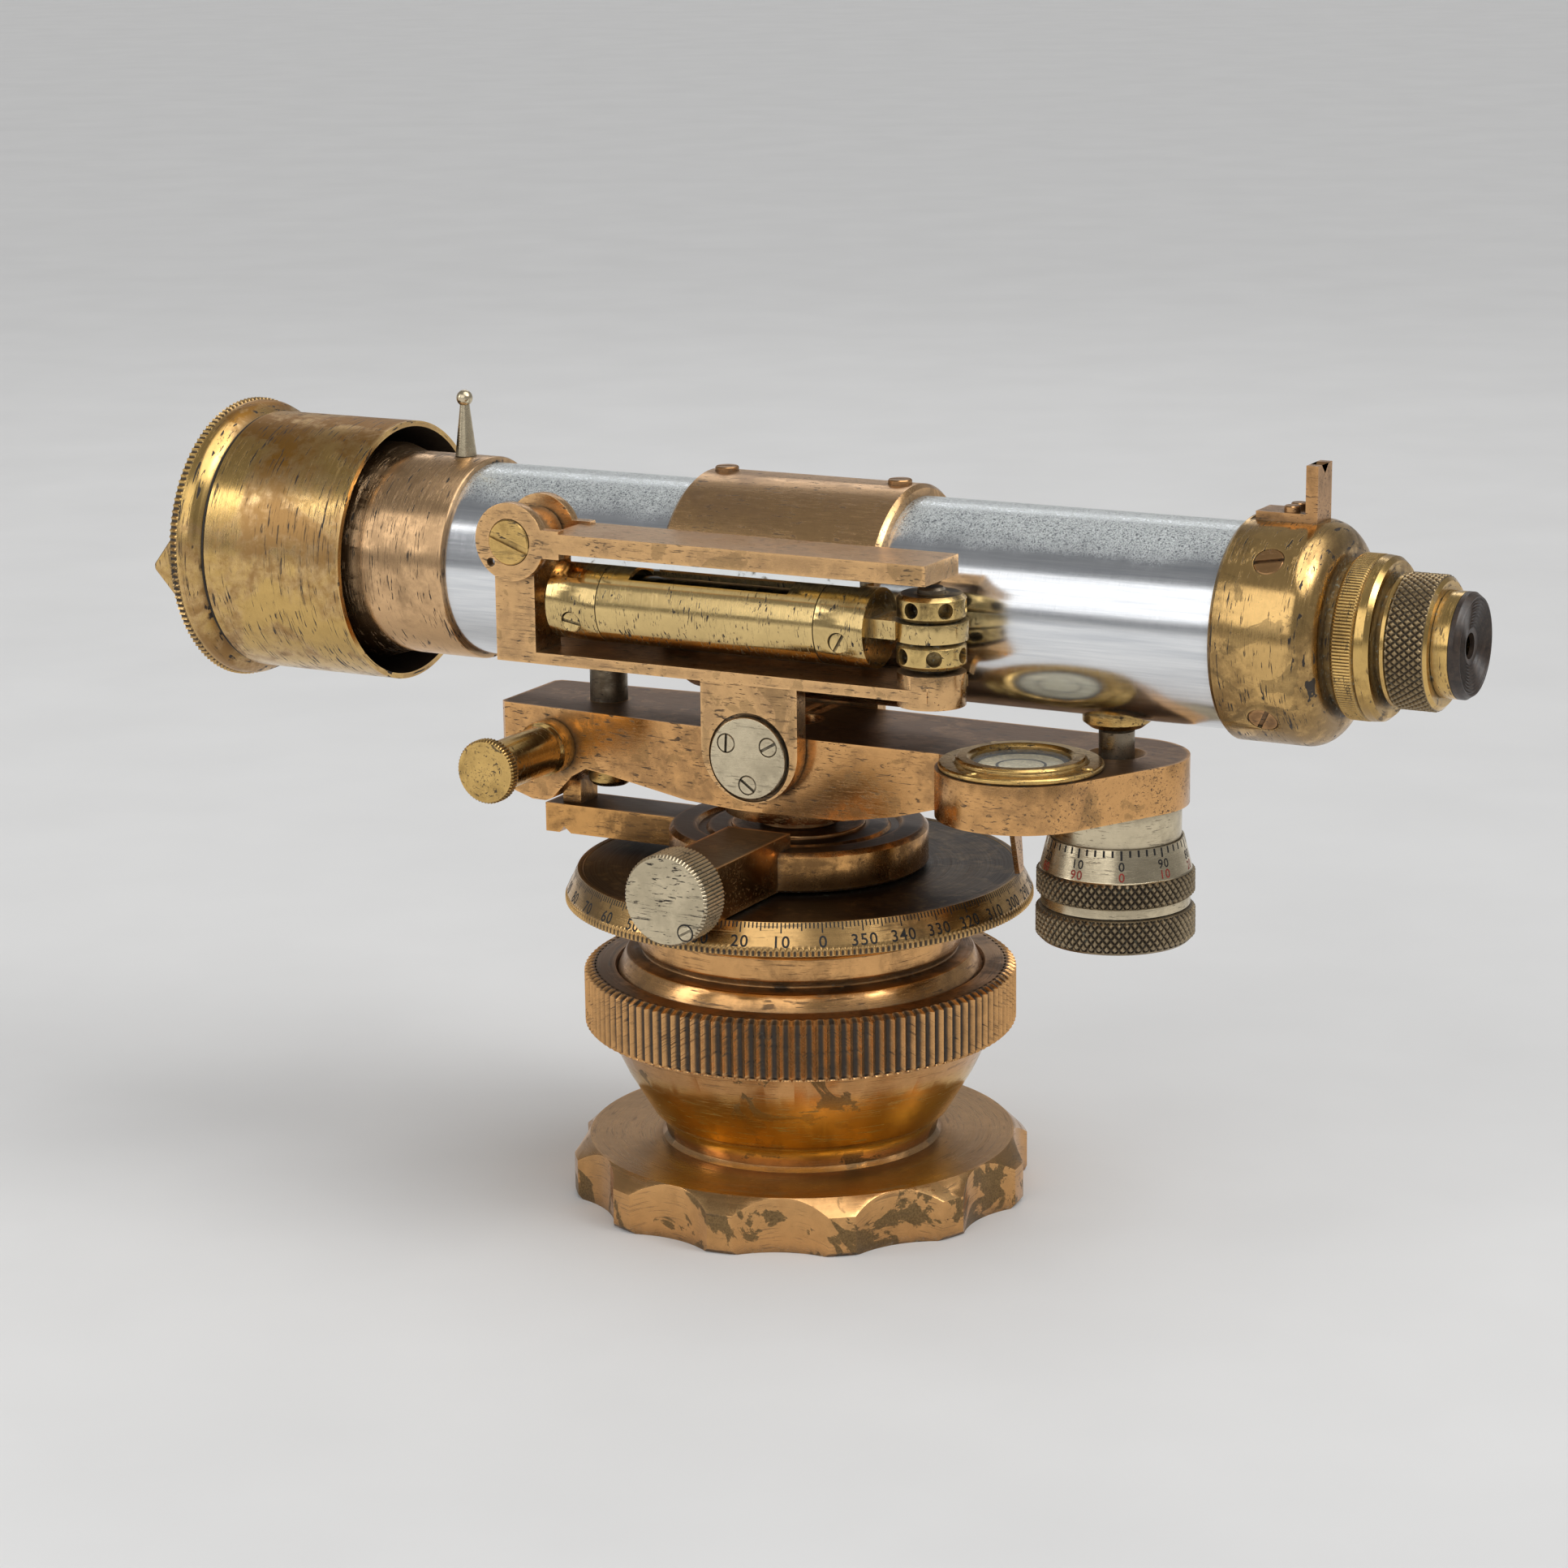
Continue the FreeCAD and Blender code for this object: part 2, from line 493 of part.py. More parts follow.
def make_saddle():
    middle = -value("trunnion_x")
    half, arc_height = 9.55, 84.4
    ear_outline = [(middle - half, 100), (middle - half, arc_height, half),
                   (middle, arc_height - half, half),
                   (middle + half, arc_height), (middle + half, 100)]
    thickness = value("ear_front") - value("ear_inner")
    ears = [plate("ear_front_plate", ear_outline, thickness,
                  (0, ("ear_inner", 0, -1), 0), TOWARDS_FRONT),
            plate("ear_back_plate", ear_outline, thickness,
                  (0, "ear_front", 0), TOWARDS_FRONT)]
    sleeve = turned("saddle_sleeve", [
        (17.0, 0), (18.9, 0), ("saddle_radius", 0.8), ("saddle_radius", 41.2), (18.9, 42.0),
        (17.0, 42.0)], (-17.5, 0, "axis_height"), ALONG_X)
    shelf = block("frame_shelf", (84.0, 16, "rail_thickness"),
                  (("post_left", 0, -1), ("frame_front", 0, -1), "rail_bottom"))
    post = block("frame_post", ("post_width", 8.5, 18.0),
                 (("post_left", 0, -1), ("frame_front", 0, -1), "rail_bottom"))
    lug = rod("hinge_lug", 4.6, 8.5, (-38.9, ("frame_front", 8.5, -1), "hinge_height"),
              TOWARDS_FRONT)
    lug_neck = block("hinge_neck", ("post_width", 8.5, 6.0),
                     (("post_left", 0, -1), ("frame_front", 0, -1), 115.0))
    rib = block("frame_rib", (32, 9.0, 4.6), (-10, -26, 98.2))
    boss = rod("frame_boss", 5.85, 5.7, ("boss_x", ("vial_offset", 0, -1), 98.1))
    whole = fuse("saddle_whole", ears + [sleeve, shelf, post, lug, lug_neck, rib, boss])
    tools = [
        rod("saddle_bore", "tube_radius", 100, (-50, 0, "axis_height"), ALONG_X),
        rod("stud_hole", 2.4, 12, ("boss_x", ("vial_offset", 0, -1), 96)),
        rod("vial_ball_hole", 2.6, 5.5, (-40.2, ("vial_offset", 0, -1), "vial_height"), ALONG_X),
        rod("hinge_hole", 2.0, 12, (-38.9, -21, "hinge_height"), TOWARDS_FRONT)]
    for side, turn in ((-1, TOWARDS_FRONT), (1, TOWARDS_BACK)):
        spot = (("trunnion_x", 0, -1), side * 13.5, "trunnion_height")
        tools.append(rod(f"trunnion_way{side}", 3.5, 5, spot, turn))
        sink = (("trunnion_x", 0, -1), ("ear_front", -0.8 * side if side > 0 else 0.8, side),
                "trunnion_height")
        tools.append(rod(f"trunnion_sink{side}", 8.0, 3, sink, turn))
    for index, x in enumerate((-13.6, 20.6)):
        tools.append(rod(f"saddle_screw_hole{index}", 1.0, 8, (x, 0, 126)))
        tools.append(rod(f"saddle_screw_seat{index}", 2.15, 3, (x, 0, 130.0)))
    tools.append(block("vial_room", (68, 13.0, 20), (-34.9, -30.95, 101.4)))
    finish("saddle", cut("saddle", whole, tools))
    for index, x in enumerate((-13.6, 20.6)):
        small_screws.append(slotted(f"saddle_screw{index}", (2.1, 1.2), (1.0, 1.4),
                                    (x, 0, 131.2), Rotation(), 20))


def make_trunnions():
    across = ("trunnion_x", 0, -1)
    pins = []
    screws = []
    for side, turn in ((-1, TOWARDS_FRONT), (1, TOWARDS_BACK)):
        label = "front" if side < 0 else "back"
        pin = turned(f"trunnion_{label}_blank", [
            (0, 0), (7.2, 0), (7.4, -0.2), (7.4, -1.6), (3.5, -1.6), (3.5, -12.0), (0, -12.0)],
            (across, side * 18.0, "trunnion_height"), turn)
        holes = []
        for index, angle in enumerate((30, 150, 270)):
            name = f"trunnion_{label}{index}"
            spot_x = ("trunnion_x", 4.8 * math.cos(math.radians(angle)), -1)
            spot_z = ("trunnion_height", 4.8 * math.sin(math.radians(angle)))
            holes.append(rod(f"{name}_sink", 1.75, 1.2, (spot_x, side * 17.0, spot_z), turn))
            holes.append(rod(f"{name}_way", 0.8, 4, (spot_x, side * 15.0, spot_z), turn))
            screws.append(slotted(f"{name}_screw", (1.7, 1.0), (0.8, 0.55),
                                  (spot_x, side * 18.0, spot_z), turn, 57 * index + 30))
        pins.append(cut(f"trunnion_{label}", pin, holes))
    finish("trunnion_pivots", group("trunnion_pivots", pins))
    finish("trunnion_screws", group("trunnion_screws", screws))


# ---------------------------------------------------------------- telescope

def on_axis(name, profile, start=0.0):
    """Turned about the line of sight; profile heights are positions along +X."""
    return turned(name, profile, (start, 0, "axis_height"), ALONG_X)


def lens_radius(rim, rise):
    """Radius of a spherical lens face that rises by this much from its rim to its middle."""
    return (rim ** 2 + rise ** 2) / (2 * rise)


def make_telescope():
    finish("main_tube", on_axis("main_tube", [
        ("tube_bore", -72.0), ("tube_radius", -72.0), ("tube_radius", 90.0),
        ("tube_bore", 90.0)]))
    collar = on_axis("front_collar_blank", [
        (15.0, -97.5), (15.0, -72.0), ("tube_radius", -72.0), ("tube_radius", -62.7),
        (18.4, -62.7), (18.6, -63.0), (18.6, -80.0), (19.9, -84.0), (19.9, -98.5),
        (("shade_bore", -0.05), -100.0), (("shade_bore", -0.05), -112.0), (16.0, -112.0),
        (16.0, -97.5)])
    hole = rod("foresight_hole", 1.0, 4, (-68.2, 0, 126.5))
    finish("front_collar", cut("front_collar", collar, [hole]))
    sight = turned("foresight_stem", [
        (0, -0.9), (1.0, -0.9), (1.0, 0.05), (1.95, 0.05), (0.85, 9.6), (0, 9.6)],
        (-68.2, 0, ("axis_height", 18.6)))
    bead = ball("foresight_bead", 1.5, (-68.2, 0, ("axis_height", 29.2)))
    finish("foresight", fuse("foresight", [sight, bead]))
    crown = on_axis("objective_crown", [
        (0, -102.4), (0, -107.0, lens_radius(15.95, 2.0)), (15.95, -105.0), (15.95, -102.4)])
    flint = on_axis("objective_flint", [
        (0, -98.9), (0, -102.35), (15.95, -102.35), (15.95, -97.55)])
    finish("objective_lens", group("objective_lens", [crown, flint]))
    finish("ray_shade", on_axis("ray_shade", [
        ("shade_bore", -115.4), ("shade_bore", -81.1), ("shade_radius", -81.1),
        ("shade_radius", -110.9), (23.7, -111.2), (23.7, -111.7), ("shade_radius", -112.0),
        (24.8, -112.6), (25.8, -114.0), (25.9, -115.4)]))


def make_dust_cap():
    disc = on_axis("dust_cap_disc", [
        (0, -117.2), (25.9, -117.2), (26.3, -116.9), (26.3, -115.7), (26.0, -115.45),
        (22.95, -115.45), (22.95, -112.3), (21.7, -112.3), (21.7, -115.45), (0, -115.45)])
    lean = Rotation(Vector(1, 0, 0), 5)
    grip = plate("dust_cap_grip", [(0, -6.0), (-4.9, 0), (0, 6.0)], 49.0,
                 (-117.1, 0, "axis_height"), lean.multiply(TOWARDS_FRONT))
    shifted = lean.multVec(Vector(0, 24.5, 0))
    grip.Placement = Placement(Vector(-117.1, shifted.y, value("axis_height") + shifted.z),
                               lean.multiply(TOWARDS_FRONT))
    finish("dust_cap", fuse("dust_cap", [disc, grip]))


def make_focus():
    finish("focus_cell", on_axis("focus_cell", [
        (12.2, 24.0), (15.95, 24.0), (15.95, 42.0), (12.2, 42.0)]))
    finish("focus_lens", on_axis("focus_lens", [
        (0, 31.6), (0, 33.6), (12.2, 35.2), (12.2, 30.0)]))
    finish("reticle_ring", on_axis("reticle_ring", [
        (11.0, 80.0), ("tube_bore", 80.0), ("tube_bore", 84.5), (11.0, 84.5)]))
    finish("reticle_glass", on_axis("reticle_glass", [
        (0, 81.5), (0, 83.0), (11.0, 83.0), (11.0, 81.5)]))


CAP_SCREWS = (math.radians(-43), math.radians(-131))     # round the cap from its top


def make_eye_end():
    cap = on_axis("eye_cap_blank", [
        (12.25, 97.0), ("tube_bore", 97.0), ("tube_bore", 90.0), ("tube_radius", 90.0),
        ("tube_radius", 85.6), (18.3, 85.6), (19.0, 86.4), (19.0, 98.0, 5.4), (13.6, 103.4),
        (12.25, 103.4)])
    flat = block("sight_flat", (13, 8, 4), (86.8, -4, 129.5))
    holes = [rod(f"cap_screw_hole{i}", 2.65, 6, (94.0, 17.5 * math.sin(a), cap_height(a)),
                 Rotation(Vector(1, 0, 0), -math.degrees(a)))
             for i, a in enumerate(CAP_SCREWS)]
    finish("eye_cap", cut("eye_cap", cap, [flat] + holes))
    for index, angle in enumerate(CAP_SCREWS):
        spot = (94.0, 18.95 * math.sin(angle), ("axis_height", 18.95 * math.cos(angle)))
        small_screws.append(slotted(f"cap_screw{index}", (2.6, 1.2), (1.2, 0.1), spot,
                                    Rotation(Vector(1, 0, 0), -math.degrees(angle)),
                                    12 + 50 * index))
    finish("focus_ring", on_axis("focus_ring", [
        (9.65, 97.6), (12.2, 97.6), (12.2, 104.6), (13.4, 104.9), (13.9, 105.5), (13.9, 108.6),
        (13.5, 108.9), (13.9, 109.3), (13.8, 110.6), (13.0, 111.4), (9.65, 111.4)]))
    finish("eyepiece_tube", on_axis("eyepiece_tube", [
        (8.0, 92.0), (16.0, 92.0), (16.0, 94.0), (9.6, 94.0), (9.6, 112.1), (8.0, 112.1)]))
    finish("dioptre_ring", on_axis("dioptre_ring", [
        (7.95, 112.4), (10.9, 112.4), (11.1, 112.7), (11.1, 114.6), (11.35, 114.9),
        (11.35, 119.2), (11.0, 119.5), (10.2, 120.4), (7.95, 120.4)]))
    barrel = on_axis("eyepiece_barrel", [
        (6.6, 97.0), (7.95, 97.0), (7.95, 120.5), (8.9, 120.5), (8.9, 123.3), (6.6, 123.3)])
    finish("eyepiece_barrel", barrel)
    field = on_axis("field_lens", [(0, 98.2), (6.6, 98.2), (6.6, 99.4), (0, 100.6)])
    eye = on_axis("eye_lens", [(0, 117.0), (6.6, 118.2), (6.6, 120.2), (0, 120.2)])
    finish("eyepiece_lenses", group("eyepiece_lenses", [field, eye]))
    finish("eyecup", on_axis("eyecup", [
        (2.2, 123.4), (8.9, 123.4), (8.9, 124.2), (8.2, 125.2), (6.9, 125.2), (3.0, 124.3),
        (2.2, 124.3)]))


def cap_height(angle):
    """Height of a screw seat 17.5 out from the line of sight."""
    return value("axis_height") + 17.5 * math.cos(angle)


def make_rear_sight():
    base = block("sight_base", (10.8, 6.4, 1.5), (87.8, -3.2, 129.5))
    blade = block("sight_blade", (2.1, 6.4, 9.6), (96.5, -3.2, 129.5))
    notch = block("sight_notch", (6, 2.2, 2.2), (95, 0, 137.5), Rotation(Vector(1, 0, 0), 45))
    holes = [rod(f"sight_way{i}", 0.8, 6, (93.6, y, 127)) for i, y in enumerate((-1.6, 1.6))]
    whole = fuse("rear_sight_whole", [base, blade])
    finish("rear_sight", cut("rear_sight", whole, [notch] + holes))
    for index, y in enumerate((-1.6, 1.6)):
        small_screws.append(slotted(f"sight_screw{index}", (1.35, 1.1), (0.8, 1.5),
                                    (93.6, y, 132.1), Rotation(), 25 * index))


# ---------------------------------------------------------------- side spirit level

def along_vial(name, profile):
    return turned(name, profile, (0, ("vial_offset", 0, -1), "vial_height"), ALONG_X)


VIAL_SCREWS = ((-27.6, 107.6), (24.6, 108.4))     # (x, z) of each


def make_vial():
    inner = value("vial_radius") - 0.7
    tube = along_vial("vial_tube_turned", [
        (5.3, -31.0), (5.3, 28.0), (0, 28.0), (0, 29.3), ("vial_radius", 29.3),
        ("vial_radius", 20.1), (inner, 20.1), (inner, -22.5), ("vial_radius", -22.5),
        ("vial_radius", -32.4), (0, -32.4), (0, -31.0)])
    stub = rod("vial_stub", 1.5, 5.0, (-37.0, ("vial_offset", 0, -1), "vial_height"), ALONG_X)
    pivot = ball("vial_pivot", 2.4, (-37.4, ("vial_offset", 0, -1), "vial_height"))
    arm = block("vial_arm", (10, 8.4, 3.2), (28.9, -29.4, 109.4))
    eye = rod("vial_eye", 6.3, 3.2, ("boss_x", ("vial_offset", 0, -1), 109.4))
    way = rod("vial_eye_hole", 3.0, 6, ("boss_x", ("vial_offset", 0, -1), 108))
    window = block("vial_tube_window", (34, 8.4, 8), (-18.4, -29.4, 112.8))
    holes = [rod(f"vial_screw_hole{i}", 1.9, 4, (x, -30.4, z), TOWARDS_FRONT)
             for i, (x, z) in enumerate(VIAL_SCREWS)]
    whole = fuse("vial_tube_whole", [tube, stub, pivot, arm, eye])
    finish("vial_tube", cut("vial_tube", whole, [way, window] + holes))
    screws = [slotted(f"vial_screw{i}", (1.85, 1.0), (0.9, 0.1), (x, -31.55, z), TOWARDS_FRONT,
                      70 * i - 10) for i, (x, z) in enumerate(VIAL_SCREWS)]
    finish("vial_screws", group("vial_screws", screws))
    sleeve = along_vial("vial_sleeve_turned", [
        (inner + 0.05, -22.3), ("vial_radius", -22.3), ("vial_radius", 19.9),
        (inner + 0.05, 19.9)])
    opening = block("vial_sleeve_window", (31, 9.0, 8), (-17, -29.7, 113.1))
    finish("vial_sleeve", cut("vial_sleeve", sleeve, [opening]))
    finish("vial_glass", along_vial("vial_glass", [
        (0, -25.0), (4.4, -25.0), (5.25, -24.0), (5.25, 22.0), (4.4, 23.0), (0, 23.0)]))
    finish("vial_stud", turned("vial_stud", [
        (0, 98.3), (2.4, 98.3), (2.4, 117.8), (2.0, 118.2), (0, 118.2)],
        ("boss_x", ("vial_offset", 0, -1), 0)))
    make_capstans()


def make_capstans():
    nuts = []
    for index, low in enumerate((104.7, 112.75)):
        nut = turned(f"capstan_nut{index}_blank", [
            (2.45, 0), (5.2, 0), (5.9, 0.7), (5.9, 3.7), (5.2, 4.4), (2.45, 4.4)],
            ("boss_x", ("vial_offset", 0, -1), low))
        holes = [rod(f"capstan{index}_hole{k}", 1.35, 2.6,
                     (value("boss_x") + 3.4 * math.cos(k * math.pi / 3 + 0.35 * index),
                      -value("vial_offset") + 3.4 * math.sin(k * math.pi / 3 + 0.35 * index),
                      low + 2.2),
                     Rotation(Vector(0, 0, 1), math.degrees(k * math.pi / 3 + 0.35 * index))
                     .multiply(ALONG_X))
                 for k in range(6)]
        nuts.append(cut(f"capstan_nut{index}", nut, holes))
    finish("capstan_nuts", group("capstan_nuts", nuts))


def make_mirror():
    hinge_x = -38.9
    outline_side = [(-32.6, 119.6), (41.5, 119.6), (41.5, 123.1), (-31.0, 123.1)]
    bar = plate("mirror_plate", outline_side, 12.8, (0, ("mirror_back", 0, -1), 0),
                TOWARDS_FRONT)
    pieces = [bar]
    for label, y in (("front", -31.05), ("back", -20.2)):
        pieces.append(rod(f"mirror_ear_{label}", 6.9, 1.95, (hinge_x, y, "hinge_height"),
                          TOWARDS_FRONT))
        pieces.append(block(f"mirror_web_{label}", (10, 1.95, 5.0), (hinge_x, y - 1.95, 118.6)))
    pieces.append(turned("mirror_stop", [(0, -1.2), (1.4, -0.9), (2.0, 0.2), (0, 0.2)],
                         ("boss_x", ("vial_offset", 0, -1), 119.6)))
    whole = fuse("mirror_whole", pieces)
    lug = rod("mirror_lug_room", 5.4, 8.85, (hinge_x, -22.18, "hinge_height"), TOWARDS_FRONT)
    hole = rod("mirror_hinge_hole", 2.05, 20, (hinge_x, -18, "hinge_height"), TOWARDS_FRONT)
    sink = rod("mirror_hinge_sink", 4.1, 2, (hinge_x, -32.4, "hinge_height"), TOWARDS_FRONT)
    pinhole = rod("mirror_pin_hole", 0.8, 4, (-42.7, -31, 117.2), TOWARDS_FRONT)
    finish("mirror_arm", cut("mirror_arm", whole, [lug, hole, sink, pinhole]))
    finish("mirror_glass", block("mirror_glass", (56, 11.0, 1.2), (-27, -32.1, 118.4)))
    finish("mirror_pivot", slotted("mirror_pivot", (4.0, 1.0), (2.0, 11.9),
                                   (hinge_x, -33.4, "hinge_height"), TOWARDS_FRONT, -20))


for make in (make_base, make_joint_rings, make_head, make_dial, make_collar, make_clamp,
             make_beam, make_bubble, make_index, make_tangent, make_lift, make_tilt_screw,
             make_saddle, make_trunnions, make_telescope, make_dust_cap, make_focus,
             make_eye_end, make_rear_sight, make_vial, make_mirror):
    make()
finish("telescope_screws", group("telescope_screws", small_screws))
doc.recompute()

faults = [f"{item.Label}: {item.State}" for item in doc.Objects
          if "Invalid" in item.State or "Error" in item.State]
faults += [f"{item.Label}: bad shape" for item in finished
           if item.Shape.isNull() or not item.Shape.isValid() or item.Shape.Volume <= 0]
if faults:
    raise RuntimeError("; ".join(faults))

os.makedirs("parts", exist_ok=True)
for item in finished:
    item.Shape.exportStep(f"parts/{item.Label}.step")
    box = item.Shape.BoundBox
    print(f"{item.Label:24s} {len(item.Shape.Solids)} solids {item.Shape.Volume:9.1f} mm3 "
          f"x {box.XMin:7.1f} {box.XMax:7.1f} y {box.YMin:7.1f} {box.YMax:7.1f} "
          f"z {box.ZMin:7.1f} {box.ZMax:7.1f}")
print(len(finished), "parts")
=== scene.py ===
import math

import bmesh
import bpy
from mathutils import Matrix, Vector


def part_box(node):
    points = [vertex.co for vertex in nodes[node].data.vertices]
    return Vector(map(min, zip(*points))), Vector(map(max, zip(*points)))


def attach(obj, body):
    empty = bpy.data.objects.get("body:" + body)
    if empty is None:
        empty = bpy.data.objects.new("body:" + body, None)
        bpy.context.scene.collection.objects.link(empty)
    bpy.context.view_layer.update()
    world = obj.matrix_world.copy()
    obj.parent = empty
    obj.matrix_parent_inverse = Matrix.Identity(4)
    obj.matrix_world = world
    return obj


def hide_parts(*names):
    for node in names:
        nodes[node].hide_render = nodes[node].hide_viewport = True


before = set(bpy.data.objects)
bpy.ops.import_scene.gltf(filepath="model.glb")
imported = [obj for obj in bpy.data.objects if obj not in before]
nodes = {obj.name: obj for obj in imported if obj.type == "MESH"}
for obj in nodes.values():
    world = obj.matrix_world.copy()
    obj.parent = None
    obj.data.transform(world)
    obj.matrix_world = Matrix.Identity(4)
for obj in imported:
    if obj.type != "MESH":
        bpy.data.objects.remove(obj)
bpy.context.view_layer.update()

MM = 0.001

SHARP_EDGE = 32      # degrees between faces, above which a lathe edge stays sharp


def axis_through(direction, node):
    """Axis through the middle of a CAD node: its direction, then its place across it in mm."""
    low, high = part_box(node)
    middle = [round((a + b) / 2 / MM, 2) for a, b in zip(low, high)]
    first, second = {"x": (1, 2), "y": (0, 2), "z": (0, 1)}[direction]
    return direction, middle[first], middle[second]


# Axes that the turned pieces share.
SIGHT = axis_through("x", "main_tube")
UPRIGHT = ("z", 0.0, 0.0)
TILT = axis_through("z", "tilt_drum")
VIAL = axis_through("x", "vial_sleeve")
TANGENT = axis_through("y", "tangent_knob")
CLAMP = axis_through("y", "clamp_knob")
CLAMP_SCREW = axis_through("y", "clamp_knob_screw")
BULLSEYE = axis_through("z", "bubble_glass")
BUBBLE_SINK = 4.4    # how far the bubble's glass goes below the beam's top, in millimetres
BEAM_TOP = round(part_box("bubble_glass")[0].z / MM + BUBBLE_SINK, 2)


# ------------------------------------------------------------------ camera, light and floor

def make_camera():
    azimuth, elevation, roll = math.radians(28.16), math.radians(13.79), math.radians(-0.66)
    target = Vector((-0.00291, 0.0, 0.07424))
    distance = 0.7378
    back = Vector((math.sin(azimuth) * math.cos(elevation),
                   -math.cos(azimuth) * math.cos(elevation), math.sin(elevation)))
    right = Vector((math.cos(azimuth), math.sin(azimuth), 0.0))
    up = back.cross(right)
    across = right * math.cos(roll) + up * math.sin(roll)
    rise = up * math.cos(roll) - right * math.sin(roll)
    turn = Matrix((across, rise, back)).transposed().to_4x4()
    data = bpy.data.cameras.new("camera")
    data.lens = 94.5
    data.sensor_width = 36.0
    data.clip_start = 0.01
    data.clip_end = 100.0
    camera = bpy.data.objects.new("camera", data)
    bpy.context.scene.collection.objects.link(camera)
    camera.matrix_world = Matrix.Translation(target + back * distance) @ turn
    bpy.context.scene.camera = camera


def make_light(name, at, size, power, colour=(1.0, 1.0, 1.0), target=(0.0, 0.0, 0.08)):
    data = bpy.data.lights.new(name, "AREA")
    data.shape = "RECTANGLE"
    data.size, data.size_y = size
    data.energy = power
    data.color = colour
    light = bpy.data.objects.new(name, data)
    bpy.context.scene.collection.objects.link(light)
    light.location = at
    aim = Vector(target) - Vector(at)
    light.rotation_euler = aim.to_track_quat("-Z", "Y").to_euler()


def make_studio():
    make_light("key_softbox", (0.62, 0.02, 0.70), (0.34, 0.28), 1.35)
    make_light("left_softbox", (-0.80, -0.60, 0.50), (0.28, 0.60), 1.5)
    make_light("front_card", (-0.05, -1.15, 0.74), (1.30, 0.95), 4.4)
    make_light("rim_softbox", (-0.45, 0.85, 0.70), (0.60, 0.25), 0.8)
    sky = bpy.data.lights.new("ceiling", "SUN")
    sky.energy = 1.50
    sky.angle = math.radians(62)
    ceiling = bpy.data.objects.new("ceiling", sky)
    bpy.context.scene.collection.objects.link(ceiling)
    ceiling.rotation_euler = Vector((-0.52, -0.02, -1.0)).to_track_quat("-Z", "Y").to_euler()
    bpy.context.scene.view_settings.view_transform = "Standard"
    world = bpy.data.worlds.new("studio_air")
    bpy.context.scene.world = world
    world.use_nodes = True
    world.node_tree.nodes["Background"].inputs["Color"].default_value = (0.97, 0.98, 1.0, 1)
    world.node_tree.nodes["Background"].inputs["Strength"].default_value = 0.25
    mesh = bpy.data.meshes.new("studio_floor")
    reach, behind, lift = 9.0, 8.0, 1.5
    profile = [(-reach, 0.0), (behind, 0.0)]
    profile += [(behind + lift * math.sin(math.radians(a)), lift - lift * math.cos(math.radians(a)))
                for a in range(10, 100, 10)]
    profile.append((behind + lift, 6.0))
    verts = [(x, y, z) for y, z in profile for x in (-reach, reach)]
    faces = [(2 * i, 2 * i + 1, 2 * i + 3, 2 * i + 2) for i in range(len(profile) - 1)]
    mesh.from_pydata(verts, [], faces)
    mesh.shade_smooth()
    floor = bpy.data.objects.new("studio_floor", mesh)
    bpy.context.scene.collection.objects.link(floor)
    floor.rotation_euler = (0, 0, math.radians(28.16))
    paper = Graph("paper")
    spots = paper.noise(paper.vector, 0.02, 3)
    grain = paper.noise(paper.vector, 3.0, 2)
    paper.set("Base Color", paper.mix(paper.span(spots, 0.3, 0.7), (0.715, 0.712, 0.705),
                                      (0.745, 0.742, 0.735)))
    paper.set("Roughness", paper.span(grain, 0.2, 0.8, 0.75, 0.9))
    mesh.materials.append(paper.material)


# ------------------------------------------------------------------ material building

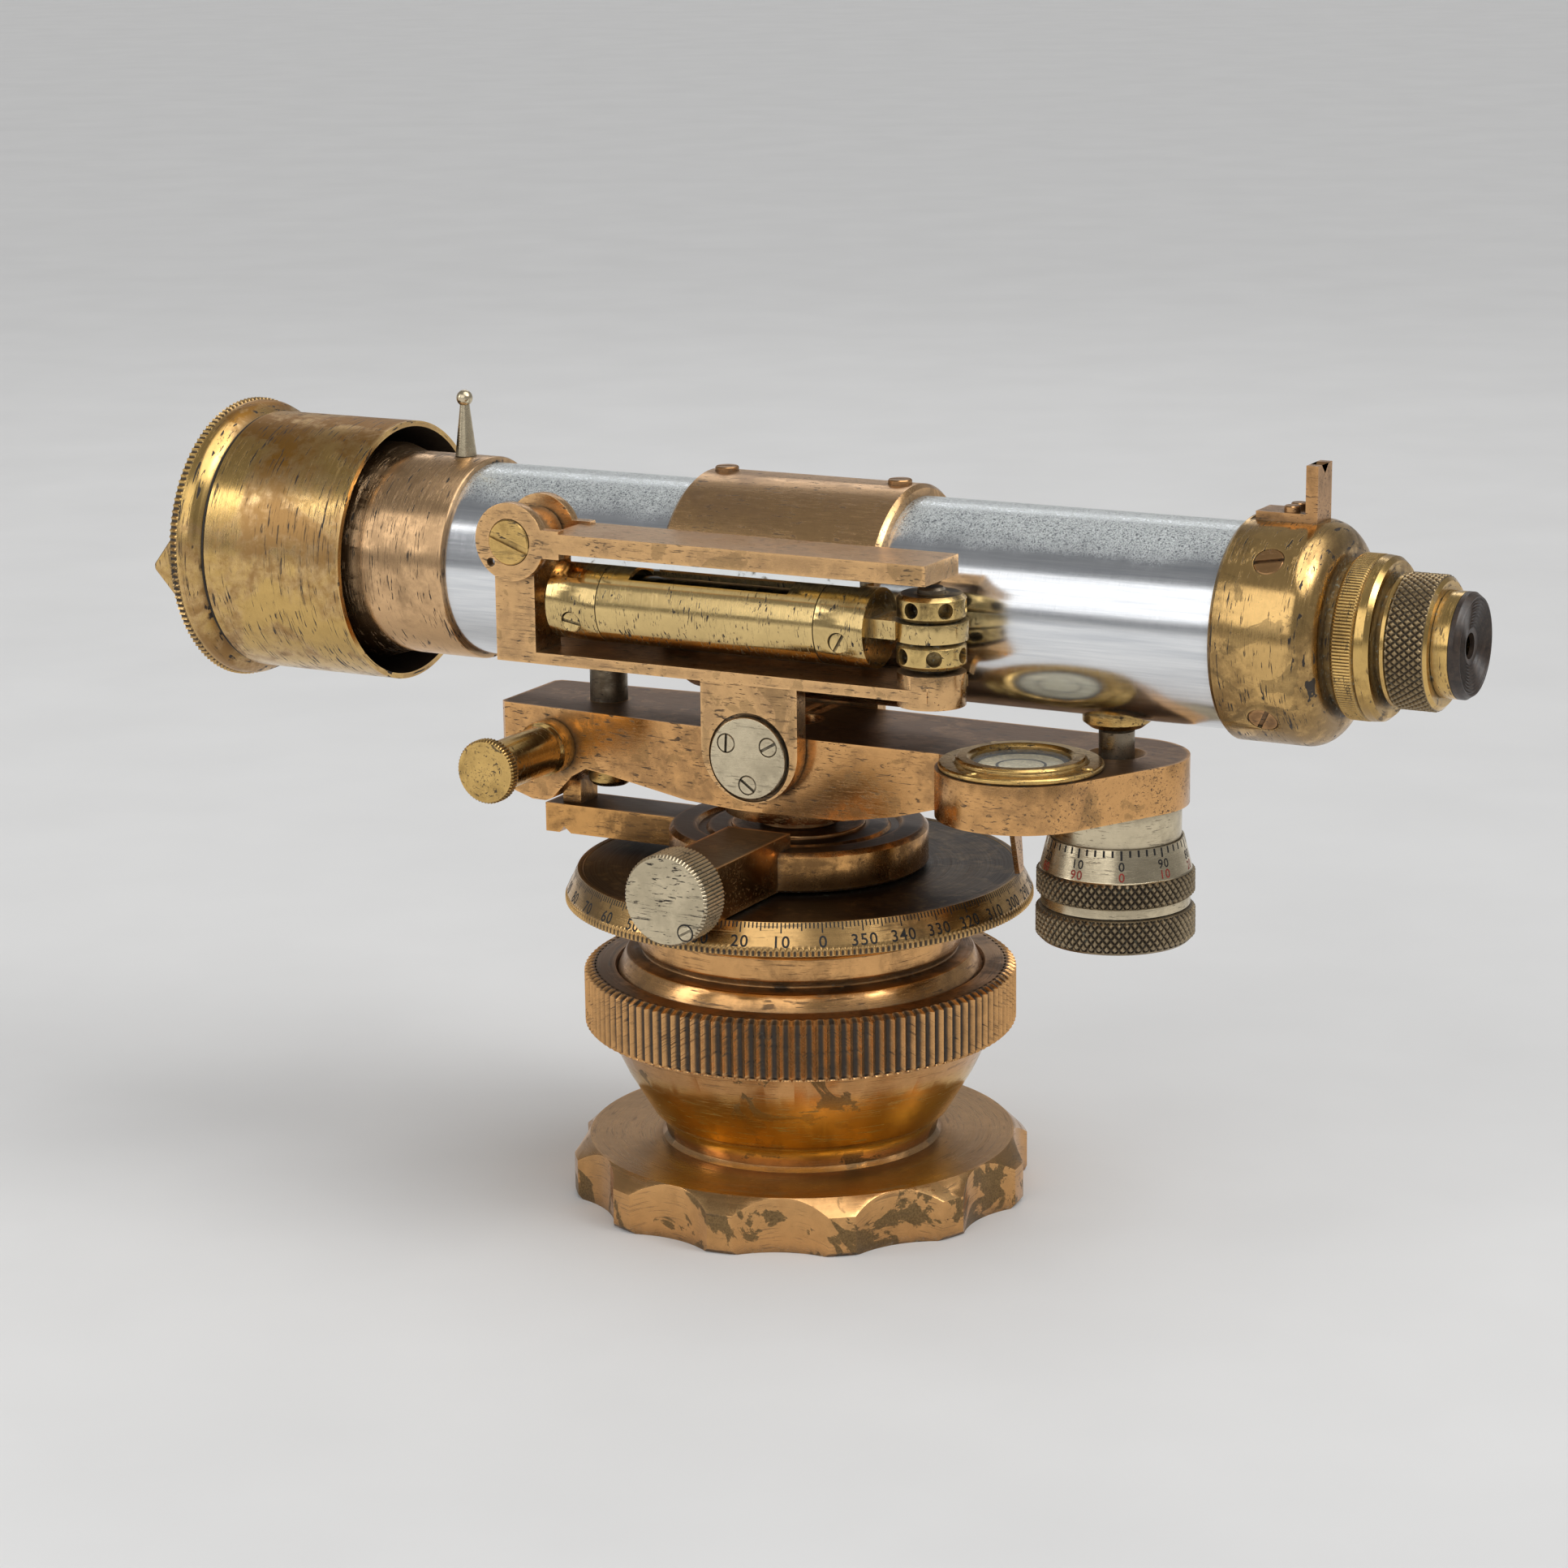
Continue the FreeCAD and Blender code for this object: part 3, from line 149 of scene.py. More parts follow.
class Graph:
    """Node graph of one material; its vector is the object position in millimetres."""

    def __init__(self, name):
        self.material = bpy.data.materials.new(name)
        self.material.use_nodes = True
        self.tree = self.material.node_tree
        self.shader = self.tree.nodes["Principled BSDF"]
        place = self.tree.nodes.new("ShaderNodeTexCoord").outputs["Object"]
        scale = self.tree.nodes.new("ShaderNodeVectorMath")
        scale.operation = "SCALE"
        self.tree.links.new(place, scale.inputs[0])
        scale.inputs["Scale"].default_value = 1000.0
        self.vector = scale.outputs[0]

    def put(self, socket, item):
        if isinstance(item, bpy.types.NodeSocket):
            self.tree.links.new(item, socket)
        elif isinstance(item, (tuple, list)):
            wanted = len(socket.default_value)
            socket.default_value = tuple(item) + (1.0,) * (wanted - len(item))
        else:
            socket.default_value = item

    def set(self, name, item):
        self.put(self.shader.inputs[name], item)

    def node(self, kind, **inputs):
        made = self.tree.nodes.new(kind)
        for name, item in inputs.items():
            self.put(made.inputs[name], item)
        return made

    def math(self, operation, first, second=0.0, third=0.0):
        made = self.tree.nodes.new("ShaderNodeMath")
        made.operation = operation
        for socket, item in zip(made.inputs, (first, second, third)):
            self.put(socket, item)
        return made.outputs[0]

    def total(self, *items):
        """Sum of several masks, held to 0..1."""
        result = items[0]
        for item in items[1:]:
            result = self.math("ADD", result, item)
        return self.span(result, 0.0, 1.0)

    def product(self, *items):
        result = items[0]
        for item in items[1:]:
            result = self.math("MULTIPLY", result, item)
        return result

    def span(self, item, low, high, to_low=0.0, to_high=1.0, smooth=False):
        made = self.tree.nodes.new("ShaderNodeMapRange")
        made.interpolation_type = "SMOOTHSTEP" if smooth else "LINEAR"
        for name, number in (("Value", item), ("From Min", low), ("From Max", high),
                             ("To Min", to_low), ("To Max", to_high)):
            self.put(made.inputs[name], number)
        return made.outputs[0]

    def mix(self, factor, first, second):
        made = self.tree.nodes.new("ShaderNodeMix")
        made.data_type = "RGBA"
        self.put(made.inputs[0], factor)
        self.put(made.inputs[6], first)
        self.put(made.inputs[7], second)
        return made.outputs[2]

    def noise(self, vector, scale, detail=3.0, roughness=0.5, distortion=0.0):
        made = self.node("ShaderNodeTexNoise", Vector=vector, Scale=scale, Detail=detail,
                         Roughness=roughness, Distortion=distortion)
        return made.outputs[0]

    def parts(self, vector):
        return self.node("ShaderNodeSeparateXYZ", Vector=vector).outputs

    def join(self, x, y, z):
        return self.node("ShaderNodeCombineXYZ", X=x, Y=y, Z=z).outputs[0]

    def stretch(self, x, y, z, shift=0.0):
        """Position scaled by its own factor on each axis."""
        made = self.tree.nodes.new("ShaderNodeVectorMath")
        made.operation = "MULTIPLY_ADD"
        self.put(made.inputs[0], self.vector)
        self.put(made.inputs[1], (x, y, z))
        self.put(made.inputs[2], (shift, shift, shift))
        return made.outputs[0]

    def around(self, axis, along_scale, round_scale, shift=0.0):
        """Seamless coordinates for lathe work: along the axis, and round it."""
        name, first, second = axis
        x, y, z = self.parts(self.vector)
        along, u, v = {"x": (x, y, z), "y": (y, x, z), "z": (z, x, y)}[name]
        u = self.math("SUBTRACT", u, first)
        v = self.math("SUBTRACT", v, second)
        far = self.math("MAXIMUM", self.math("SQRT", self.math(
            "ADD", self.math("MULTIPLY", u, u), self.math("MULTIPLY", v, v))), 0.001)
        mixed = self.math("MULTIPLY_ADD", along, along_scale,
                          self.math("MULTIPLY_ADD", far, 0.6 * along_scale, shift))
        return self.join(mixed, self.math("MULTIPLY", self.math("DIVIDE", u, far), round_scale),
                         self.math("MULTIPLY", self.math("DIVIDE", v, far), round_scale))

    def occlusion(self, distance, inside=False, samples=6):
        made = self.node("ShaderNodeAmbientOcclusion", Distance=distance * MM)
        made.inside = inside
        made.only_local = inside
        made.samples = samples
        return made.outputs["AO"]

    def upward(self):
        normal = self.tree.nodes.new("ShaderNodeNewGeometry").outputs["Normal"]
        return self.parts(normal)[2]

    def bump(self, height, depth, strength=1.0):
        made = self.node("ShaderNodeBump", Strength=strength, Distance=depth * MM, Height=height)
        self.set("Normal", made.outputs[0])


# The dark colour argument colours scratches, pits and the painted shade in corners and grooves; the
# amount argument scales only the painted shade in corners.
def aged_metal(name, colour, tarnish, dirt, axis=None, top_patina=0.0, scratches=0.5,
               patches=0.5, dirt_amount=0.8, gloss=0.20, wear=0.5, pale=None, speckle=0.3,
               blotches=0.0, dashes=0.6, verdigris=0.4, lacquer=None):
    """Polished metal with tarnish, scratches, dark pits, sharp-edged stains, painted shade in corners,
    worn edges and a trace of verdigris; cut grooves are darkened as painted shade, and a band
    between two heights can be tinted as a painted reflection."""
    g = Graph(name)
    grain_at = g.around(axis, 5.0, 1.1) if axis else g.stretch(0.16, 3.6, 3.6)
    grain = g.noise(grain_at, 1.6, 4, 0.65)
    cloud = g.noise(g.vector, 0.055, 5, 0.62, 0.6)
    mottle = g.noise(g.vector, 0.42, 5, 0.7, 0.3)
    fine = g.noise(g.vector, 3.2, 3, 0.7)
    long_at = g.around(axis, 2.9, 2.4, 7.0) if axis else g.stretch(0.11, 1.4, 1.9, 3.0)
    breaks = g.span(g.noise(g.vector, 0.11, 3, 0.6, 0.4), 0.46, 0.60, smooth=True)
    lines = g.span(g.noise(long_at, 1.0, 5, 0.78), 0.575, 0.62, smooth=True)
    short_at = g.around(axis, 2.6, 4.2, 19.0) if axis else g.stretch(0.42, 1.9, 2.6, 19.0)
    short = g.span(g.noise(short_at, 1.0, 3, 0.6, 0.5), 0.59, 0.625, smooth=True)
    short = g.product(short, g.span(g.noise(g.vector, 0.16, 2, 0.5, 0.8), 0.44, 0.55, smooth=True))
    marks = g.total(g.product(lines, breaks, scratches), g.product(short, dashes, 1.4))
    pits = g.product(g.span(fine, 0.66, 0.73, smooth=True), speckle)
    # Painted shade: occlusion darkens corners and crevices, varied by the mottle.
    near = g.occlusion(2.2)
    corner_shade = g.span(near, 0.35, 0.92, 1.0, 0.0)
    corner_shade = g.product(corner_shade, g.span(mottle, 0.25, 0.62, 0.55, 1.0), dirt_amount)
    # Painted shade: the deepest parts of cut grooves are darkened.
    groove = g.node("ShaderNodeAttribute")
    groove.attribute_name = "groove"
    groove = g.product(g.span(groove.outputs["Fac"], 0.55, 1.0, smooth=True), 0.90)
    edges = g.span(g.occlusion(0.9, inside=True), 0.35, 0.95, 1.0, 0.0)
    edges = g.product(edges, wear)
    patch = g.product(g.span(g.math("ADD", cloud, g.math("MULTIPLY", mottle, 0.35)),
                             0.60, 0.80, smooth=True), patches)
    upper = g.span(g.upward(), 0.55, 0.95, smooth=True)
    if top_patina:
        upper_patina = g.product(upper, g.span(mottle, 0.15, 0.5, 0.80, 1.0), top_patina)
        patch = g.total(patch, upper_patina)
    patch = g.math("MULTIPLY", patch, g.math("SUBTRACT", 1.0, g.math("MULTIPLY", edges, 0.8)))
    base = g.mix(g.span(mottle, 0.3, 0.7), colour, [c * 0.84 for c in colour])
    if pale:
        base = g.mix(g.product(g.span(cloud, 0.42, 0.62, smooth=True), 0.75), base, pale)
    base = g.mix(patch, base, tarnish)
    # Painted reflection: between two heights the colour is tinted bright gold, standing in for the
    # golden light the neck reflects; stains are kept off this band.
    if lacquer:
        tint, low, high = lacquer
        height = g.parts(g.vector)[2]
        glow_mask = g.product(g.span(height, low, low + 1.5), g.span(height, high - 7.0, high, 1.0, 0.0),
                         g.span(cloud, 0.35, 0.75, 1.0, 0.6))
        base = g.mix(glow_mask, base, tint)
        upper = g.total(upper, glow_mask)
    if blotches:
        stain = g.math("ADD", g.noise(g.vector, 0.085, 6, 0.60, 0.8), g.math(
            "MULTIPLY", fine, 0.06))
        stain = g.product(g.span(stain, 0.592, 0.604), g.math("SUBTRACT", 1.0, upper), blotches)
        base = g.mix(stain, base, g.mix(g.span(fine, 0.35, 0.6), (0.085, 0.060, 0.032),
                                        (0.24, 0.165, 0.075)))
        patch = g.total(patch, stain)
    base = g.mix(g.math("MULTIPLY", edges, 0.6), base, [min(1.0, c * 1.28) for c in colour])
    dark = g.total(marks, pits, corner_shade, groove)
    base = g.mix(dark, base, dirt)
    crust = g.product(g.span(near, 0.30, 0.85, 1.0, 0.0), verdigris,
                      g.span(g.noise(g.vector, 1.3, 4, 0.7), 0.57, 0.66, smooth=True))
    g.set("Base Color", g.mix(crust, base, (0.36, 0.40, 0.33)))
    g.set("Metallic", g.span(g.total(dark, crust), 0.0, 1.0, 1.0, 0.2))
    rough = g.math("ADD", g.span(grain, 0.3, 0.7, gloss - 0.06, gloss + 0.08),
                   g.math("MULTIPLY", g.total(patch, g.math("MULTIPLY", dark, 1.2)), 0.26))
    g.set("Roughness", rough)
    height = g.math("ADD", g.math("MULTIPLY", grain, 0.25),
                    g.math("ADD", g.math("MULTIPLY", mottle, 0.35),
                           g.math("MULTIPLY", dark, -0.6)))
    g.bump(height, 0.05, 0.42)
    return g.material


def silver_tube():
    """Bright tube whose upper side is mottled by white corrosion and darkened as painted shade; painted
    shade also darkens it in corners.
    """
    g = Graph("silvered_tube")
    upper = g.span(g.upward(), 0.45, 0.95, smooth=True)
    cells = g.noise(g.vector, 1.9, 6, 0.75, 1.0)
    cloud = g.noise(g.vector, 0.09, 4, 0.6)
    bloom = g.product(g.span(g.math("ABSOLUTE", g.math("SUBTRACT", cells, 0.5)), 0.008, 0.05, 1.0, 0.0),
                      g.span(g.math("ADD", upper, g.math("MULTIPLY", cloud, 0.9)), 0.80, 1.35))
    grain = g.noise(g.around(SIGHT, 6.0, 0.7), 1.4, 4, 0.6)
    streak = g.noise(g.stretch(0.04, 1.2, 1.2), 1.0, 4, 0.7)
    # Painted shade: occlusion darkens the tube to brown in corners and beside the parts on it.
    corner_shade = g.span(g.occlusion(2.0), 0.35, 0.9, 1.0, 0.0)
    base = g.mix(g.span(streak, 0.35, 0.7), (0.87, 0.88, 0.89), (0.66, 0.68, 0.71))
    # Painted shade: the upper side of the tube is darkened to grey.
    base = g.mix(g.math("MULTIPLY", upper, 0.75), base, (0.47, 0.50, 0.52))
    base = g.mix(g.math("MULTIPLY", bloom, 0.85), base, (0.78, 0.82, 0.79))
    g.set("Base Color", g.mix(g.math("MULTIPLY", corner_shade, 0.5), base, (0.22, 0.17, 0.11)))
    g.set("Metallic", g.span(bloom, 0.0, 1.0, 1.0, 0.45))
    g.set("Roughness", g.math("ADD", g.span(grain, 0.3, 0.7, 0.13, 0.22),
                              g.math("MULTIPLY", bloom, 0.4)))
    g.bump(g.math("ADD", g.math("MULTIPLY", bloom, 0.5), g.math("MULTIPLY", grain, 0.15)),
           0.04, 0.5)
    return g.material


BRONZE = (0.74, 0.405, 0.160)
BRONZE_DARK = (0.105, 0.062, 0.032)
BRASS = (0.73, 0.475, 0.165)
BRASS_DARK = (0.200, 0.112, 0.036)
NICKEL = (0.72, 0.61, 0.42)
# Dark colour of scratches and pits, also used for painted shade in corners and cut grooves.
GRIME_AND_SHADE = (0.032, 0.022, 0.014)


def glass_material():
    g = Graph("clear_glass")
    smear = g.noise(g.vector, 0.5, 4)
    g.set("Base Color", (0.93, 0.96, 0.94))
    g.set("Transmission Weight", 1.0)
    g.set("IOR", 1.5)
    g.set("Roughness", g.span(smear, 0.4, 0.7, 0.02, 0.09))
    return g.material


def window_material():
    """Thin glass that lets the light through to what lies close behind it."""
    g = Graph("window_glass")
    smear = g.noise(g.vector, 0.5, 4)
    g.set("Base Color", (0.93, 0.96, 0.94))
    g.set("Alpha", g.span(smear, 0.3, 0.7, 0.08, 0.16))
    g.set("Roughness", g.span(smear, 0.4, 0.7, 0.03, 0.12))
    g.bump(smear, 0.01, 0.2)
    return g.material


def mirror_material():
    g = Graph("mirror_silver")
    blot = g.noise(g.vector, 0.4, 5, 0.7, 0.5)
    spots = g.span(blot, 0.60, 0.70, smooth=True)
    g.set("Base Color", g.mix(spots, (0.84, 0.86, 0.86), (0.30, 0.28, 0.24)))
    g.set("Metallic", 1.0)
    g.set("Roughness", g.span(blot, 0.3, 0.7, 0.03, 0.25))
    return g.material


def ink_material(name, colour):
    g = Graph(name)
    worn = g.noise(g.vector, 1.5, 4, 0.7)
    g.set("Base Color", g.mix(g.span(worn, 0.45, 0.75), colour, [c * 1.8 + 0.02 for c in colour]))
    g.set("Roughness", g.span(worn, 0.3, 0.7, 0.45, 0.75))
    return g.material


def horn_material():
    """Dark moulded eyecup with a worn sheen."""
    g = Graph("black_eyecup")
    mottle = g.noise(g.vector, 0.8, 5, 0.7)
    rings = g.noise(g.around(SIGHT, 6.0, 0.6), 1.3, 3)
    g.set("Base Color", g.mix(g.span(mottle, 0.35, 0.75), (0.018, 0.012, 0.009),
                              (0.075, 0.048, 0.032)))
    g.set("Roughness", g.span(rings, 0.3, 0.7, 0.28, 0.50))
    g.bump(rings, 0.04, 0.5)
    return g.material


def make_materials():
    made = {}

    def metal(name, colour, **settings):
        made[name] = aged_metal(name, colour, dirt=GRIME_AND_SHADE, **settings)

    metal("bronze_cast", BRONZE, tarnish=(0.185, 0.108, 0.062), top_patina=0.92, patches=0.45,
          scratches=0.6, wear=1.0, blotches=0.30, dashes=0.55, gloss=0.17, speckle=0.6)
    metal("bronze_saddle", (0.76, 0.46, 0.21), tarnish=(0.36, 0.22, 0.12), top_patina=0.45,
          patches=0.40, scratches=0.5, wear=1.0, blotches=0.30, dashes=0.55, gloss=0.17,
          speckle=0.5)
    metal("bronze_collar", (0.72, 0.38, 0.13), tarnish=(0.060, 0.034, 0.020), top_patina=1.0,
          patches=0.65, scratches=0.4, wear=0.8, gloss=0.13, dashes=0.3, verdigris=0.8)
    # The base's neck carries a painted reflection: a bright gold band between 12 and 27 mm up.
    metal("bronze_base", BRONZE, tarnish=(0.28, 0.165, 0.070), axis=UPRIGHT, top_patina=0.60,
          patches=0.15, scratches=0.35, wear=0.9, blotches=0.85, dashes=0.25, gloss=0.13,
          lacquer=((0.92, 0.62, 0.100), 12.0, 27.0))
    metal("bronze_turned", BRONZE, tarnish=(0.17, 0.10, 0.050), axis=UPRIGHT, top_patina=0.62,
          patches=0.50, scratches=0.6, wear=0.8, dashes=0.35, gloss=0.15)
    metal("bronze_dial", (0.70, 0.43, 0.17), tarnish=(0.040, 0.025, 0.015), axis=UPRIGHT,
          top_patina=0.96, patches=0.55, scratches=0.4, wear=0.8, dashes=0.25)
    metal("bronze_sight", (0.80, 0.51, 0.27), tarnish=BRONZE_DARK, axis=SIGHT, top_patina=0.25,
          patches=0.40, scratches=1.0, wear=0.8, dashes=1.0, gloss=0.17)
    metal("bronze_eye", (0.74, 0.47, 0.18), tarnish=BRONZE_DARK, axis=SIGHT, patches=0.60,
          scratches=1.0, wear=0.8, dashes=1.0, gloss=0.14, blotches=0.45, verdigris=1.0)
    metal("brass_shade", BRASS, tarnish=(0.33, 0.160, 0.030), axis=SIGHT, patches=0.75,
          top_patina=0.55, scratches=1.0, pale=(0.70, 0.50, 0.31), wear=0.8, gloss=0.19,
          dashes=1.0)
    metal("brass_sight", BRASS, tarnish=BRASS_DARK, axis=SIGHT, patches=0.55, scratches=0.8,
          wear=0.7, gloss=0.17, dashes=0.5, verdigris=1.0)
    metal("brass_vial", (0.76, 0.55, 0.24), tarnish=BRASS_DARK, axis=VIAL, patches=0.15,
          scratches=0.5, wear=0.6, gloss=0.13, dashes=0.8, dirt_amount=1.0)
    metal("brass_tangent", BRASS, tarnish=BRASS_DARK, axis=TANGENT, patches=0.4,
          scratches=0.9, wear=0.6)
    metal("brass_plain", BRASS, tarnish=BRASS_DARK, patches=0.4, scratches=0.4, wear=0.8)
    metal("bronze_plain", (0.60, 0.33, 0.14), tarnish=BRONZE_DARK, patches=0.6, scratches=0.3,
          wear=0.8, dirt_amount=1.0)
    metal("brass_blackened", (0.70, 0.49, 0.19), tarnish=(0.055, 0.036, 0.018), patches=1.0,
          top_patina=0.75, scratches=0.3, wear=1.0, gloss=0.17, verdigris=0.8)
    nickel_dark = (0.20, 0.16, 0.10)
    metal("nickel_tilt", NICKEL, tarnish=nickel_dark, axis=TILT, patches=0.30, scratches=0.3,
          wear=0.5, gloss=0.20, dashes=0.3)
    metal("nickel_clamp", NICKEL, tarnish=nickel_dark, patches=0.22, scratches=1.0, wear=0.4,
          gloss=0.32, dashes=1.0)
    metal("nickel_plain", NICKEL, tarnish=nickel_dark, patches=0.2, scratches=0.35, wear=0.5,
          gloss=0.24, dashes=0.3, dirt_amount=1.0)
    metal("knurl_dark", (0.33, 0.255, 0.155), tarnish=(0.075, 0.055, 0.032), axis=TILT,
          patches=0.7, scratches=0.2, wear=1.0, dirt_amount=1.0, gloss=0.30, dashes=0.2)
    metal("knurl_eye", (0.30, 0.22, 0.12), tarnish=(0.070, 0.050, 0.030), axis=SIGHT,
          patches=0.7, scratches=0.2, wear=1.0, dirt_amount=1.0, gloss=0.30, dashes=0.2)
    metal("steel_dark", (0.34, 0.28, 0.20), tarnish=(0.09, 0.065, 0.04), patches=0.7,
          scratches=0.4, wear=0.7, gloss=0.28)
    made["silvered_tube"] = silver_tube()
    made["glass"] = glass_material()
    made["window"] = window_material()
    made["mirror"] = mirror_material()
    made["ink"] = ink_material("engraving_black", (0.006, 0.005, 0.004))
    made["red_ink"] = ink_material("engraving_red", (0.26, 0.022, 0.010))
    made["cream"] = ink_material("bubble_ground", (0.66, 0.60, 0.42))
    # Near-black: the dark joint line on the ray shade, and painted shade on its inner wall.
    made["blackened"] = ink_material("joint_line_and_inner_shade", (0.016, 0.012, 0.009))
    made["eyecup"] = horn_material()
    return made


# ------------------------------------------------------------------ lathe work with knurls

def add_piece(name, mesh, material, body, stands_for=()):
    piece = bpy.data.objects.new(name, mesh)
    bpy.context.scene.collection.objects.link(piece)
    mesh.materials.append(material)
    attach(piece, body)
    if stands_for:
        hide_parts(*stands_for)
    return piece


def to_frame(axis, along, radius, angle):
    """Point at a position along an axis and round it, in metres."""
    name, first, second = axis
    u = first + radius * math.cos(angle)
    v = second + radius * math.sin(angle)
    point = {"x": (along, u, v), "y": (u, along, v), "z": (u, v, along)}[name]
    return Vector(point) * MM


def lathe(name, axis, profile, segments, relief=None):
    """Closed turning; relief(along, radius, angle) is the depth cut from each point."""
    verts, cuts = [], []
    for along, radius in profile:
        for k in range(segments):
            angle = 2 * math.pi * k / segments
            depth = relief(along, radius, angle) if relief else 0.0
            cuts.append(depth)
            verts.append(to_frame(axis, along, radius - depth, angle))
    rows = len(profile)
    faces = []
    for i in range(rows):
        lower, upper = i * segments, ((i + 1) % rows) * segments
        for k in range(segments):
            after = (k + 1) % segments
            faces.append((lower + k, lower + after, upper + after, upper + k))
    mesh = bpy.data.meshes.new(name)
    mesh.from_pydata(verts, [], faces)
    deepest = max(cuts) or 1.0
    groove = mesh.attributes.new("groove", "FLOAT", "POINT")
    groove.data.foreach_set("value", [depth / deepest for depth in cuts])
    tidy_normals(mesh)
    return mesh


def tidy_normals(mesh):
    work = bmesh.new()
    work.from_mesh(mesh)
    bmesh.ops.remove_doubles(work, verts=work.verts, dist=1e-7)
    bmesh.ops.recalc_face_normals(work, faces=work.faces)
    work.to_mesh(mesh)
    work.free()
    mesh.shade_smooth()
    mesh.set_sharp_from_angle(angle=math.radians(SHARP_EDGE))


def dense(profile, step):
    """Profile with extra points, so that relief can follow along it; (along, radius) pairs."""
    result = []
    for (a, r), (b, s) in zip(profile, profile[1:] + profile[:1]):
        count = max(1, int(math.hypot(b - a, s - r) / step))
        result += [(a + (b - a) * i / count, r + (s - r) * i / count) for i in range(count)]
    return result


def inside(value, low, high, soft):
    """1 between low and high, falling to 0 over the soft distance at either end."""
    return max(0.0, min(1.0, (value - low) / soft, (high - value) / soft))


def flutes(count, depth, low, high, soft, least):
    """Straight milling between two positions along the axis, outside a least radius."""
    def relief(along, radius, angle):
        if radius < least:
            return 0.0
        wave = abs(math.sin(angle * count / 2))
        return depth * (1 - wave) * inside(along, low, high, soft)
    return relief


def scallops(count, depth, low, high, soft, least):
    """Round-bottomed milling that leaves sharp ridges, outside a least radius."""
    def relief(along, radius, angle):
        if radius < least:
            return 0.0
        return depth * abs(math.cos(angle * count / 2)) ** 0.8 * inside(along, low, high, soft)
    return relief


def diamonds(count, depth, low, high, pitch, least=0.0, soft=0.15):
    """Crossed knurl; pitch is the rise along the axis in which a groove turns by one diamond."""
    def relief(along, radius, angle):
        if radius < least:
            return 0.0
        turn = angle * count / (2 * math.pi)
        climb = along / pitch
        one = abs((turn + climb) % 1.0 - 0.5) * 2
        two = abs((turn - climb) % 1.0 - 0.5) * 2
        groove = 1 - min(min(one, two) / 0.55, 1.0)
        return depth * groove * inside(along, low, high, soft)
    return relief


def make_clamp_ring(mats):
    outline = [(31.0, 37.05), (31.0, 38.3), (31.7, 39.0), (41.2, 39.0), (41.9, 37.9),
               (41.9, 33.4), (41.2, 32.97), (38.6, 34.01), (38.6, 37.05)]
    mesh = lathe("milled_clamp_ring", UPRIGHT, dense(outline, 0.35), 960,
                 scallops(120, 0.90, 30.9, 42.2, 0.35, least=37.4))
    add_piece("milled_clamp_ring", mesh, mats["bronze_turned"], "clamp_ring",
              ["clamp_ring"])


def make_clamp_knob(mats):
    outline = [(-51.0, 0.01), (-51.0, 7.55), (-50.4, 8.05), (-44.5, 8.05), (-44.0, 7.4),
               (-44.0, 2.5), (-48.0, 2.5), (-48.0, 0.01)]
    mesh = lathe("milled_clamp_knob", CLAMP, dense(outline, 0.4), 576,
                 flutes(72, 0.36, -50.75, -44.1, 0.35, least=7.5))
    add_piece("milled_clamp_knob", mesh, mats["nickel_clamp"], "azimuth_clamp",
              ["clamp_knob"])
    gap = lathe("clamp_screw_gap", CLAMP_SCREW,
                [(-51.03, 1.3), (-51.03, 1.55), (-50.9, 1.55), (-50.9, 1.3)], 64)
    add_piece("clamp_screw_gap", gap, mats["ink"], "azimuth_clamp")


def make_tangent_knob(mats):
    outline = [(-34.0, 0.01), (-34.0, 5.45), (-33.6, 5.8), (-32.0, 5.8), (-31.5, 5.4),
               (-31.5, 4.75), (-33.15, 4.75), (-33.15, 2.05), (-33.45, 2.05), (-33.45, 0.01)]
    mesh = lathe("milled_tangent_knob", TANGENT, dense(outline, 0.3), 560,
                 flutes(56, 0.26, -33.9, -31.6, 0.2, least=5.3))
    add_piece("milled_tangent_knob", mesh, mats["brass_tangent"], "tangent_knob",
              ["tangent_knob"])


def make_tilt_drum(mats):
    outline = [(60.45, 4.0), (60.45, 12.9), (62.0, 12.9), (62.6, 13.7), (66.2, 13.7),
               (66.8, 13.1), (72.3, 11.75), (72.3, 11.42), (61.8, 11.42), (61.8, 4.0)]
    knurl = diamonds(62, 0.55, 62.2, 66.6, 1.7, least=12.7)
    mesh = lathe("knurled_tilt_drum", TILT, dense(outline, 0.14), 1008, knurl)
    add_piece("knurled_tilt_drum", mesh, mats["nickel_tilt"], "tilt_drum",
              ["tilt_drum"])
    mesh.materials.append(mats["knurl_dark"])
    for face in mesh.polygons:
        height = face.center.z / MM
        reach = math.hypot(face.center.x / MM - TILT[1], face.center.y / MM)
        if 62.1 < height < 66.7 and reach > 12.6:
            face.material_index = 1


def make_tilt_head(mats):
    outline = [(54.8, 0.01), (54.8, 3.4), (54.1, 3.4), (54.1, 12.8), (55.1, 13.8),
               (59.5, 13.8), (60.1, 13.2), (60.4, 12.4), (60.4, 4.0), (74.4, 4.0),
               (74.9, 3.5), (74.9, 0.01)]
    mesh = lathe("knurled_tilt_head", TILT, dense(outline, 0.14), 1008,
                 diamonds(62, 0.50, 54.5, 60.0, 1.7, least=12.9))
    add_piece("knurled_tilt_head", mesh, mats["knurl_dark"], "tilt_drum",
              ["tilt_head"])


